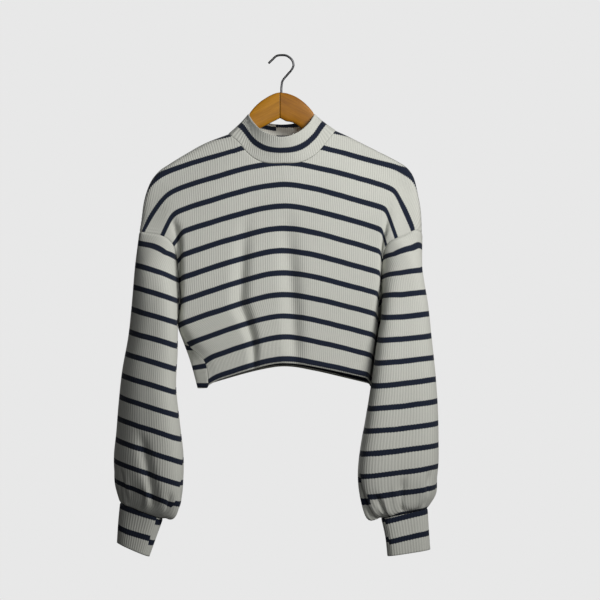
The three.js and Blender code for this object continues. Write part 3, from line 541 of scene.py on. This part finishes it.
# Where the sleeve's end sags over its cuff
SAG_COLUMNS = "angle drop width"
SAGS = {
    -1: table(SAG_COLUMNS, (2.75, 9, 0.4), (1.5, 2, 0.3)),
    1: table(SAG_COLUMNS, (2.7, 13, 0.36), (1.94, 9, 0.22), (1.25, 5, 0.24)),
}
SAG_MIDDLE = 456
SAG_REACH = 10
SAG_END = 9

# Soft folds of the sleeves: troughs that start and end at an angle and a length
SLEEVE_FOLD_COLUMNS = "angle end_angle l end_l depth width"
SLEEVE_FOLDS = {
    -1: table(
        SLEEVE_FOLD_COLUMNS,
        (1.3, 1.95, 320, 470, 9, 0.17),
        (0.75, 0.95, 400, 470, 5, 0.1),
        (2.3, 2.4, 415, 470, 6, 0.09),
        (1.45, 1.5, 430, 470, 4, 0.08),
    ),
    1: table(
        SLEEVE_FOLD_COLUMNS,
        (1.45, 1.62, 400, 470, 8, 0.1),
        (0.8, 0.9, 390, 470, 6, 0.09),
        (2.15, 2.0, 425, 470, 8, 0.09),
        (2.75, 2.45, 380, 470, 8, 0.1),
    ),
}

# Seams round the tubes: the angle of each, and how far the stripes miss each other there
SEAM_ANGLE = {-1: 3.0, 1: 3.0}
SEAM_END_ANGLE = {-1: 2.4, 1: 2.2}
SEAM_TWIST_FROM = 340
CUFF_SEAM_ANGLE = {-1: 2.35, 1: 2.45}
SEAM_STEP = {-1: 3.4, 1: -7.0}
CUFF_SEAM_STEP = {-1: -6.0, 1: 5.0}
SEAM_REACH = 1.3
COLLAR_SEAM_ANGLE = 4.9
COLLAR_SEAM_STEP = -8.0
INNER_SHIFT = 2.0  # the collar's stripe lies this much lower on its inner face
SLEEVE_GROOVE = 0.03  # half width of a seam's groove, as an angle
BAND_GROOVE = 0.045


def seam_step(angle, seam, step):
    """A step in the stripes at the seam, which fades out to both sides round the tube."""
    away = angle - seam
    return step / 2 * np.sign(away) * np.maximum(1 - np.abs(away) / SEAM_REACH, 0)


def sleeve_seam(side, length):
    """The angle of the sleeve's seam, which turns to the front above the cuff."""
    k = smooth((length - SEAM_TWIST_FROM) / (SLEEVE_LENGTH - SEAM_TWIST_FROM))
    return mix(SEAM_ANGLE[side], SEAM_END_ANGLE[side], k)


def sleeve_surface(side):
    """A sleeve from the armhole seam to the cuff: rings, with gathers above the cuff."""
    cols = SLEEVE_RIBS * RIB_POINTS
    angle = np.arange(cols) / cols * 2 * np.pi
    half = np.minimum(angle, 2 * np.pi - angle) / np.pi
    cap = CAP_HEIGHT * np.maximum(2 * half - 1, 0) ** CAP_CURVE
    v = 1 - (1 - np.linspace(0, 1, SLEEVE_ROWS + 1)) ** 1.15
    length = mix(cap[None, :], SLEEVE_LENGTH, v[:, None])
    turn = np.broadcast_to(angle, length.shape)
    own = ring_points(SLEEVE_RINGS[side], side, length, turn)
    near = bell((length - GATHER_MIDDLE) / GATHER_REACH)
    wave = near * sum(
        GATHERS["height"][i] * np.cos(GATHERS["count"][i] * turn + GATHERS["turn"][i])
        for i in range(len(GATHERS["count"]))
    )
    axis = np.stack([np.cos(turn) * side, -np.sin(turn), np.zeros_like(turn)], -1)
    folds = SLEEVE_FOLDS[side]
    for i in range(len(folds["l"])):
        k = (length - folds["l"][i]) / (folds["end_l"][i] - folds["l"][i])
        away = (turn - mix(folds["angle"][i], folds["end_angle"][i], k)) / folds["width"][i]
        wave -= folds["depth"][i] * smooth(k / 0.4) * smooth((1 - k) / 0.2) * bell(away)
    own += axis * wave[..., None]
    sags = SAGS[side]
    rows = range(len(sags["drop"]))
    drop = sum(sags["drop"][i] * bell((angle - sags["angle"][i]) / sags["width"][i]) for i in rows)
    low = bell((length - SAG_MIDDLE) / SAG_REACH) * np.clip((SLEEVE_LENGTH - length) / SAG_END, 0, 1)
    own[..., 2] -= drop * low
    hold = (1 - np.clip((length - cap) / CAP_BLEND, 0, 1)) ** 2
    seam = armhole_points(side, angle)
    start = ring_points(SLEEVE_RINGS[side], side, cap, angle)
    points = own + hold[..., None] * (seam - start)[None]
    return points, length


def cuff_surface(side):
    """A cuff: rings from the sleeve's end to its own edge."""
    cols = CUFF_RIBS * RIB_POINTS
    angle = np.arange(cols) / cols * 2 * np.pi
    total = CUFF_RINGS[side]["l"][-1]
    length = np.linspace(0, total, CUFF_ROWS + 1)[:, None] * np.ones(cols)
    points = ring_points(CUFF_RINGS[side], side, length, np.broadcast_to(angle, length.shape))
    return points, length


def collar_surface():
    """The collar rises from the neckline to its own top edge, leaning out a little halfway."""
    cols = COLLAR_RIBS * RIB_POINTS
    angle = np.arange(cols) / cols * 2 * np.pi
    front = angle <= np.pi
    s = NECK_HALF * np.where(front, 2 * angle / np.pi - 1, 3 - 2 * angle / np.pi)
    base = np.where(
        front[:, None],
        cloth_points("front", s, top_t("front", s)),
        cloth_points("back", s, top_t("back", s)),
    )
    c, sn = np.cos(angle), np.sin(angle)
    middle_y = np.where(sn > 0, COLLAR_TOP["front"], -COLLAR_TOP["back"])
    middle_z = np.where(sn > 0, COLLAR_TOP["front_z"], COLLAR_TOP["back_z"])
    top = np.stack(
        [
            COLLAR_TOP["x"] - COLLAR_TOP["across"] * c,
            middle_y * sn,
            mix(COLLAR_TOP["sides"], middle_z, np.abs(sn) ** COLLAR_DIP),
        ],
        -1,
    )
    v = np.linspace(0, 1, COLLAR_ROWS + 1)[:, None, None]
    points = mix(base[None], top[None], v)
    points[..., 0] += COLLAR_LEAN * np.sin(np.pi * v[..., 0]) * c[None, :]
    return points, v[..., 0] * COLLAR_HEIGHT * np.ones(cols)


# Materials
def linear(code):
    """sRGB hex to linear RGBA."""
    value = np.array([int(code[i : i + 2], 16) for i in (0, 2, 4)]) / 255
    low, high = value / 12.92, ((value + 0.055) / 1.055) ** 2.4
    return (*np.where(value <= 0.04045, low, high).tolist(), 1.0)


def add(tree, kind, inputs=None, **settings):
    """One node, with its settings and its inputs set to values or joined to sockets."""
    node = tree.nodes.new(kind)
    for key, value in settings.items():
        setattr(node, key, value)
    for key, value in (inputs or {}).items():
        if isinstance(value, bpy.types.NodeSocket):
            tree.links.new(value, node.inputs[key])
        else:
            node.inputs[key].default_value = value
    return node


def maths(tree, operation, a, b=0.0, c=0.0):
    """The result of one sum on values or sockets."""
    return add(tree, "ShaderNodeMath", {0: a, 1: b, 2: c}, operation=operation).outputs[0]


def blend(tree, factor, a, b, mode="MIX"):
    """Two colours mixed by a factor."""
    node = add(tree, "ShaderNodeMix", {0: factor, 6: a, 7: b}, data_type="RGBA", blend_type=mode)
    return node.outputs[2]


def fresh(name):
    """A new material with its shader joined to the output."""
    material = bpy.data.materials.new(name)
    material.use_nodes = True
    tree = material.node_tree
    tree.nodes.clear()
    shader = add(tree, "ShaderNodeBsdfPrincipled")
    add(tree, "ShaderNodeOutputMaterial", {"Surface": shader.outputs[0]})
    return material, tree, shader


# Cream and navy cotton
CREAM = "DADBD3"
NAVY = "1E2638"
STITCH = 1.4  # height of a row of stitches


def knit(name, pitch, phase, width=STRIPE_WIDTH, rib=RIB_PITCH):
    """Rib-knit cotton: navy stripes every pitch along v, ribs every rib along u with painted shade in their
    grooves, and fine stitches.
    """
    material, tree, shader = fresh(name)
    place = add(tree, "ShaderNodeSeparateXYZ", {0: add(tree, "ShaderNodeUVMap", uv_map="cut").outputs[0]})
    u = maths(tree, "MULTIPLY", place.outputs[0], 1000.0)
    v = maths(tree, "MULTIPLY", place.outputs[1], 1000.0)
    spot = add(tree, "ShaderNodeTexCoord").outputs["Object"]
    drift = add(tree, "ShaderNodeTexNoise", {"Vector": spot, "Scale": 22.0, "Detail": 2.0})
    fibre = add(tree, "ShaderNodeTexNoise", {"Vector": spot, "Scale": 900.0, "Detail": 2.0})
    patch = add(tree, "ShaderNodeTexNoise", {"Vector": spot, "Scale": 9.0, "Detail": 3.0})
    crest = maths(tree, "COSINE", maths(tree, "MULTIPLY", u, 2 * math.pi / rib))
    # the stripe's edge steps a little from rib to groove and wanders slowly
    edge = maths(tree, "MULTIPLY_ADD", crest, 0.35, v)
    edge = maths(tree, "MULTIPLY_ADD", maths(tree, "SUBTRACT", drift.outputs[0], 0.5), 2.4, edge)
    near = maths(tree, "PINGPONG", maths(tree, "SUBTRACT", edge, phase), pitch / 2)
    stripe = add(
        tree,
        "ShaderNodeMapRange",
        {0: near, 1: width / 2 - 0.5, 2: width / 2 + 0.5, 3: 1.0, 4: 0.0},
        interpolation_type="SMOOTHSTEP",
    ).outputs[0]
    colour = blend(tree, stripe, linear(CREAM), linear(NAVY))
    # painted shade: the colour is darkened in each rib's groove; the patch and fibre noise then vary the
    # tone at random
    groove = maths(tree, "MULTIPLY_ADD", crest, -0.5, 0.5)
    painted_shade_and_tone = maths(tree, "MULTIPLY_ADD", maths(tree, "POWER", groove, 1.5), -0.15, 1.0)
    painted_shade_and_tone = maths(tree, "MULTIPLY", painted_shade_and_tone, maths(tree, "MULTIPLY_ADD", patch.outputs[0], 0.14, 0.93))
    painted_shade_and_tone = maths(tree, "MULTIPLY", painted_shade_and_tone, maths(tree, "MULTIPLY_ADD", fibre.outputs[0], 0.2, 0.9))
    tint = add(tree, "ShaderNodeCombineColor", {0: painted_shade_and_tone, 1: painted_shade_and_tone, 2: painted_shade_and_tone}).outputs[0]
    colour = blend(tree, 1.0, colour, tint, "MULTIPLY")
    # rows of stitches across the ribs
    row = maths(tree, "SINE", maths(tree, "MULTIPLY", v, 2 * math.pi / STITCH))
    side = maths(tree, "SINE", maths(tree, "MULTIPLY", u, 4 * math.pi / rib))
    height = maths(tree, "MULTIPLY_ADD", maths(tree, "MULTIPLY", row, side), 0.5, fibre.outputs[0])
    bump = add(tree, "ShaderNodeBump", {"Strength": 0.35, "Distance": 0.0003, "Height": height})
    tree.links.new(colour, shader.inputs["Base Color"])
    tree.links.new(bump.outputs[0], shader.inputs["Normal"])
    rough = maths(tree, "MULTIPLY_ADD", fibre.outputs[0], 0.1, 0.84)
    tree.links.new(rough, shader.inputs["Roughness"])
    shader.inputs["Specular IOR Level"].default_value = 0.2
    shader.inputs["Sheen Weight"].default_value = 0.12
    shader.inputs["Sheen Roughness"].default_value = 0.5
    return material


def lacquered_wood(name, light, dark, slant):
    """Honey-coloured wood under clear lacquer, its grain at a slant and a dark line at the joint."""
    material, tree, shader = fresh(name)
    spot = add(tree, "ShaderNodeTexCoord").outputs["Object"]
    along = add(tree, "ShaderNodeMapping", {0: spot, 2: (0.0, math.radians(slant), 0.0)}).outputs[0]
    stretched = add(tree, "ShaderNodeMapping", {0: along, 3: (14.0, 90.0, 150.0)})
    grain = add(tree, "ShaderNodeTexNoise", {"Vector": stretched.outputs[0], "Scale": 1.0, "Detail": 5.0})
    fine = add(tree, "ShaderNodeMapping", {0: along, 3: (60.0, 900.0, 1400.0)})
    pores = add(tree, "ShaderNodeTexNoise", {"Vector": fine.outputs[0], "Scale": 1.0, "Detail": 3.0})
    k = maths(tree, "MULTIPLY_ADD", pores.outputs[0], 0.5, maths(tree, "MULTIPLY", grain.outputs[0], 0.9))
    ramp = add(tree, "ShaderNodeMapRange", {0: k, 1: 0.45, 2: 0.95, 3: 0.0, 4: 1.0})
    colour = blend(tree, ramp.outputs[0], linear(dark), linear(light))
    # the glued joint is a thin dark line
    across = add(tree, "ShaderNodeSeparateXYZ", {0: spot}).outputs[0]
    off = maths(tree, "ABSOLUTE", maths(tree, "SUBTRACT", across, HANGER_JOINT / 1000))
    line = add(tree, "ShaderNodeMapRange", {0: off, 1: 0.0003, 2: 0.0011, 3: 0.28, 4: 1.0}).outputs[0]
    tint = add(tree, "ShaderNodeCombineColor", {0: line, 1: line, 2: line}).outputs[0]
    colour = blend(tree, 1.0, colour, tint, "MULTIPLY")
    tree.links.new(colour, shader.inputs["Base Color"])
    bump = add(tree, "ShaderNodeBump", {"Strength": 0.12, "Distance": 0.0002, "Height": pores.outputs[0]})
    tree.links.new(bump.outputs[0], shader.inputs["Normal"])
    tree.links.new(maths(tree, "MULTIPLY_ADD", grain.outputs[0], 0.15, 0.36), shader.inputs["Roughness"])
    shader.inputs["Specular IOR Level"].default_value = 0.25
    shader.inputs["Coat Weight"].default_value = 0.06
    shader.inputs["Coat Roughness"].default_value = 0.3
    return material


def steel_wire(name):
    """Bent steel wire, dulled by handling."""
    material, tree, shader = fresh(name)
    spot = add(tree, "ShaderNodeTexCoord").outputs["Object"]
    wear = add(tree, "ShaderNodeTexNoise", {"Vector": spot, "Scale": 160.0, "Detail": 4.0})
    colour = blend(tree, wear.outputs[0], linear("4A4A4C"), linear("6E6E70"))
    tree.links.new(colour, shader.inputs["Base Color"])
    tree.links.new(maths(tree, "MULTIPLY_ADD", wear.outputs[0], 0.25, 0.22), shader.inputs["Roughness"])
    shader.inputs["Metallic"].default_value = 1.0
    return material


# The cloth: the same striped rib knit, with the stripes where each piece has them
KNIT_PANELS = {
    "front": knit("rib_knit_front", pitch=STRIPE_PITCH, phase=0.0),
    "back": knit("rib_knit_back", pitch=STRIPE_PITCH, phase=7.0),
}
KNIT_SLEEVES = {
    -1: knit("rib_knit_sleeve_left", pitch=37.9, phase=20.4),
    1: knit("rib_knit_sleeve_right", pitch=37.4, phase=22.4),
}
KNIT_CUFFS = {
    -1: knit("rib_knit_cuff_left", pitch=34.7, phase=3.2),
    1: knit("rib_knit_cuff_right", pitch=36.0, phase=4.0),
}
KNIT_COLLAR = knit("rib_knit_collar", pitch=25.5, phase=19.75, width=8.5)


def rib_lift(u, height, dip=0.0):
    """Ribs along u, flattened where a seam dips."""
    return height * np.cos(u * 2 * np.pi / RIB_PITCH) * (1 - np.clip(dip, 0, 1)) - SEAM_DIP * dip


def trim_top(points, amount):
    """Moves the top edge a little towards the next row, clear of the piece that it is sewn to."""
    way = points[1] - points[0]
    points[0] += way / np.linalg.norm(way, axis=-1, keepdims=True) * amount


def panel(face):
    """The front or back, its ribs flat along the seams."""
    points, s, t = panel_surface(face)
    flip = -1 if face == "front" else 1
    normals = grid_normals(points, False, flip)
    width = read(HALF_WIDTH, "t", "w", t)
    dip = bell((t - top_t(face, s)) / SEAM_WIDTH) + bell((width - np.abs(s)) / SEAM_WIDTH)
    lift = rib_lift(s, RIB_HEIGHT, dip)
    points[0] += EDGE_TRIM * np.array([0, flip, -0.3])
    uv = np.stack([s, t], -1)
    return cloth_wall(face + "_panel", points, normals, lift, uv, uv, False, flip, KNIT_PANELS[face])


def sleeve(side, name):
    """A sleeve, its ribs flat at the armhole, at the cuff and along its own seam."""
    points, length = sleeve_surface(side)
    normals = grid_normals(points, True, side)
    cols = points.shape[1]
    angle = np.arange(cols) / cols * 2 * np.pi
    seam = sleeve_seam(side, length)
    uv = closed_uv(cols, SLEEVE_RIBS * RIB_PITCH, length + seam_step(angle, seam, SEAM_STEP[side]))
    ends = bell((length - length[:1]) / SEAM_WIDTH) + bell((SLEEVE_LENGTH - length) / CUFF_GROOVE)
    lift = rib_lift(uv[..., 0], RIB_HEIGHT, ends + bell((angle - seam) / SLEEVE_GROOVE))
    trim_top(points, EDGE_TRIM)
    return cloth_wall(name, points, normals, lift, uv, uv, True, side, KNIT_SLEEVES[side])


def cuff(side, name):
    """A rib band round the wrist."""
    points, length = cuff_surface(side)
    normals = grid_normals(points, True, side)
    angle = np.arange(points.shape[1]) / points.shape[1] * 2 * np.pi
    step = seam_step(angle, CUFF_SEAM_ANGLE[side], CUFF_SEAM_STEP[side])
    uv = closed_uv(points.shape[1], CUFF_RIBS * RIB_PITCH, length + step)
    groove = bell((angle - CUFF_SEAM_ANGLE[side]) / BAND_GROOVE)
    lift = rib_lift(uv[..., 0], BAND_RIB_HEIGHT, bell(length / CUFF_GROOVE) + groove)
    return cloth_wall(name, points, normals, lift, uv, uv, True, side, KNIT_CUFFS[side])


def collar():
    """The mock neck, its stripe carried over the top edge to the inner face."""
    points, height = collar_surface()
    normals = grid_normals(points, True, 1)
    uv = closed_uv(points.shape[1], COLLAR_RIBS * RIB_PITCH, height)
    angle = np.arange(points.shape[1]) / points.shape[1] * 2 * np.pi
    step = seam_step(angle, COLLAR_SEAM_ANGLE, COLLAR_SEAM_STEP)
    inner_v = 2 * COLLAR_HEIGHT - INNER_SHIFT - height + step
    inner = closed_uv(points.shape[1], COLLAR_RIBS * RIB_PITCH, inner_v)
    lift = rib_lift(uv[..., 0], BAND_RIB_HEIGHT, bell(height / CUFF_GROOVE))
    trim_top(points, COLLAR_TRIM)
    return cloth_wall("collar_band", points, normals, lift, uv, inner, True, 1, KNIT_COLLAR)


FRONT_PIECE, BACK_PIECE = panel("front"), panel("back")
SLEEVES = {-1: sleeve(-1, "sleeve_left_cloth"), 1: sleeve(1, "sleeve_right_cloth")}
CUFFS = {-1: cuff(-1, "cuff_left_band"), 1: cuff(1, "cuff_right_band")}
COLLAR_PIECE = collar()

# The hanger
HANGER_JOINT = -6.8
JOINT_GAP = 0.02
HANGER_TOP = {
    -1: table("x z", (-6.8, -60), (-16, -62), (-30, -69), (-44, -79), (-57, -93), (-61, -101), (-76, -123)),
    1: table("x z", (-6.8, -60), (6, -62), (21, -68), (35, -78), (48, -92), (52.5, -100), (66, -122)),
}
HANGER_TIP = {-1: -197, 1: 201}
HANGER_NECK_DROP = 8  # the arm's top lies this far below the seam at the neck
HANGER_CLEAR = 1.5  # and this far below the cloth further out
CLEAR_OVER = 26
SEAM_SPAN = 240
HANGER_THICK = 10
HANGER_ARM_HEIGHT = 41
HANGER_TIP_HEIGHT = 26
HANGER_CROTCH_Z = -104
CROTCH_SLOPE = 0.51
ARM_SLOPE = 0.75
ARM_SHOULDER = 60
TIP_FROM = 0.93  # the tip is rounded over the rest of the arm
TIP_FLAT = 0.97
EDGE_ACROSS = 0.55  # how square the arm's section is, front to back and up
EDGE_UP = 0.75
ARM_STATIONS = 130
ARM_SIDES = 32


def hanger_top(side, x):
    """The arm's top edge: bare at the neck, then just under the shoulder seam."""
    away = np.abs(x - HANGER_JOINT)
    s = np.linspace(NECK_HALF, SEAM_SPAN, 60)
    seam = seam_point(side * s)
    seam_away = np.abs(seam[:, 0] - HANGER_JOINT)
    bare = HANGER_TOP[side]
    rows = {
        "k": np.append(np.abs(bare["x"] - HANGER_JOINT), seam_away[0]),
        "z": np.append(bare["z"], seam[0, 2] - HANGER_NECK_DROP),
    }
    clear = mix(HANGER_NECK_DROP, WALL + HANGER_CLEAR, np.clip((away - seam_away[0]) / CLEAR_OVER, 0, 1))
    under = np.interp(away, seam_away, seam[:, 2]) - clear
    return np.where(away < seam_away[0], read(rows, "k", "z", away), under)


def hanger_arm(side, name, material):
    """A rounded bar: at each station a superellipse between the top edge and the underside."""
    start = HANGER_JOINT + side * JOINT_GAP
    reach = abs(HANGER_TIP[side] - HANGER_JOINT)
    q = np.linspace(0, 1, ARM_STATIONS + 1)
    x = start + side * reach * q
    top = hanger_top(side, x)
    slope = np.abs(np.gradient(top, x))
    near = 1 - np.clip(np.abs(x - HANGER_JOINT) / ARM_SHOULDER, 0, 1)
    slant = mix(np.minimum(slope, ARM_SLOPE), ARM_SLOPE, near)
    bar = mix(HANGER_ARM_HEIGHT, HANGER_TIP_HEIGHT, q) * np.sqrt(1 + slant**2)
    crotch = HANGER_CROTCH_Z - np.abs(x - HANGER_JOINT) * CROTCH_SLOPE
    height = np.minimum(top - crotch, bar)
    tip = np.clip((q - TIP_FROM) / (1 - TIP_FROM), 0, 1)
    rounding = np.sqrt(1 - tip * tip * TIP_FLAT)
    middle = top - height / 2
    angle = np.linspace(0, 2 * np.pi, ARM_SIDES, endpoint=False)
    c, s = np.cos(angle), np.sin(angle)
    across = np.sign(c) * np.abs(c) ** EDGE_ACROSS
    up = np.sign(s) * np.abs(s) ** EDGE_UP
    y = (HANGER_THICK / 2) * rounding[:, None] * across[None, :]
    z = middle[:, None] + (height / 2 * rounding)[:, None] * up[None, :]
    rings = np.stack([np.broadcast_to(x[:, None], y.shape), y, z], -1)
    quads = grid_quads(ARM_STATIONS + 1, ARM_SIDES, True, 0, side < 0)
    return close_ends(make_mesh(name, rings.reshape(-1, 3), quads, material), ARM_SIDES)


def close_ends(piece, sides):
    """Closes both ends of a tube with one face each."""
    mesh = piece.data
    work = bmesh.new()
    work.from_mesh(mesh)
    rims = [e for e in work.edges if e.is_boundary]
    bmesh.ops.holes_fill(work, edges=rims, sides=sides)
    bmesh.ops.recalc_face_normals(work, faces=work.faces)
    for face in work.faces:
        face.smooth = len(face.verts) == 4
    work.to_mesh(mesh)
    work.free()
    return piece


# The hook: its wire, and the middle of the wire from the wood to the free end as (x, z)
WIRE = 3.8
HOOK_ROUTE = (
    (-4.6, -86), (-4.6, -60), (-4.3, -50), (-2.2, -40), (5.5, -30.3), (12.6, -22), (16, -14),
    (13.5, -5), (5.1, 1.9), (-4, 3.2), (-12.9, 1.6), (-20.4, -5.1), (-26.5, -11),
)
HOOK_SIDES = 24
HOOK_STEPS = 180
FREE_END = 0.35  # length of the rounded end, in steps of the route


def hook(name, material):
    """A wire along a smooth curve through the route's points, with a rounded free end."""
    route = np.array(HOOK_ROUTE, float)
    gaps = np.linalg.norm(np.diff(route, axis=0), axis=1)
    at = np.append(0, np.cumsum(np.sqrt(gaps)))
    rows = {"k": at, "x": route[:, 0], "z": route[:, 1]}
    k = np.linspace(0, at[-1], HOOK_STEPS + 1)
    x, z = read(rows, "k", "x", k), read(rows, "k", "z", k)
    way = np.stack([np.gradient(x), np.gradient(z)], -1)
    way /= np.linalg.norm(way, axis=1, keepdims=True)
    end = np.clip((k - at[-1] + FREE_END) / FREE_END, 0, 1)
    radius = WIRE / 2 * np.sqrt(1 - 0.92 * end**2)
    angle = np.linspace(0, 2 * np.pi, HOOK_SIDES, endpoint=False)
    side = np.stack([-way[:, 1], np.zeros(len(k)), way[:, 0]], -1)
    c, s = np.cos(angle)[None, :, None], np.sin(angle)[None, :, None]
    ring = c * side[:, None, :] + s * np.array([0, 1, 0])
    centre = np.stack([x, np.zeros(len(k)), z], -1)
    points = centre[:, None, :] + radius[:, None, None] * ring
    quads = grid_quads(len(k), HOOK_SIDES, True, 0, False)
    return close_ends(make_mesh(name, points.reshape(-1, 3), quads, material), HOOK_SIDES)


# Two boards of honey-coloured beech, the grain of each at a slant down from the joint; the right board is
# painted darker than the left as painted shade
WOOD = {
    -1: lacquered_wood("lacquered_beech_left", light="CA8C26", dark="9E680F", slant=27),
    # painted shade: the right arm's light and dark colours are darker than the left's, for an arm turned
    # away from the light
    1: lacquered_wood("lacquered_beech_right_painted_shade", light="BA7C1C", dark="905A0E", slant=-27),
}
ARMS = {
    -1: hanger_arm(-1, "hanger_arm_left_wood", WOOD[-1]),
    1: hanger_arm(1, "hanger_arm_right_wood", WOOD[1]),
}
HOOK = hook("hanger_hook_wire", steel_wire("steel_wire"))

# What each piece stands for, with the flat size of its cut in metres and its area
CLOTH = [
    (FRONT_PIECE, "front", "knit", (0.600, 0.413), 0.191),
    (BACK_PIECE, "back", "knit", (0.600, 0.421), 0.199),
    (SLEEVES[-1], "sleeve_left", "knit", (0.372, 0.470), 0.145),
    (SLEEVES[1], "sleeve_right", "knit", (0.395, 0.470), 0.150),
    (CUFFS[-1], "cuff_left", "rib", (0.190, 0.064), None),
    (CUFFS[1], "cuff_right", "rib", (0.203, 0.068), None),
    (COLLAR_PIECE, "collar", "rib", (0.410, 0.041), None),
]
for piece, node, slot, flat, area in CLOTH:
    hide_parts(node)
    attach(piece, "root")
for piece, node, slot in (
    (ARMS[-1], "hanger_arm_left", "wood"),
    (ARMS[1], "hanger_arm_right", "wood"),
    (HOOK, "hanger_hook", "steel"),
):
    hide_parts(node)
    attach(piece, "root")

# The camera stands level with the middle of the picture, five metres away
scene = bpy.context.scene
lens = bpy.data.cameras.new("camera")
lens.lens = 176.5
lens.sensor_width = 36
camera = bpy.data.objects.new("camera", lens)
camera.location = (0.0272, -5.0, -0.413)
camera.rotation_euler = (math.pi / 2, 0, 0)
scene.collection.objects.link(camera)
scene.camera = camera


def area_light(name, place, aim, size, power, colour, spread):
    """A round soft light at a place, turned to its aim."""
    data = bpy.data.lights.new(name, "AREA")
    data.shape = "DISK"
    data.size = size
    data.energy = power
    data.color = colour
    data.spread = math.radians(spread)
    lamp = bpy.data.objects.new(name, data)
    lamp.location = place
    lamp.rotation_euler = (Vector(aim) - Vector(place)).to_track_quat("-Z", "Y").to_euler()
    scene.collection.objects.link(lamp)


# Daylight from the upper right, a weak light from the front and one for the back
area_light("window", (1.6, -1.8, 0.75), (0.08, 0.0, -0.22), 1.3, 5.4, (1.0, 0.99, 0.97), 52)
area_light("fill", (0.7, -3.2, 0.1), (0.05, 0.0, -0.1), 0.6, 0.9, (0.98, 0.99, 1.0), 36)
area_light("behind", (-1.2, 2.4, 0.5), (0.0, 0.0, -0.4), 1.4, 3.6, (0.98, 0.99, 1.0), 60)

# A plain pale surround: the camera sees its own grey, and the garment gets a dim even light
world = bpy.data.worlds.new("surround")
world.use_nodes = True
scene.world = world
tree = world.node_tree
tree.nodes.clear()
seen = add(tree, "ShaderNodeLightPath").outputs["Is Camera Ray"]
dim = add(tree, "ShaderNodeBackground", {0: linear("E8E8E8"), 1: 0.06})
plain = add(tree, "ShaderNodeBackground", {0: linear("E8E8E8"), 1: 1.0})
both = add(tree, "ShaderNodeMixShader", {0: seen, 1: dim.outputs[0], 2: plain.outputs[0]})
add(tree, "ShaderNodeOutputWorld", {"Surface": both.outputs[0]})
scene.view_settings.view_transform = "Standard"

bpy.context.view_layer.update()
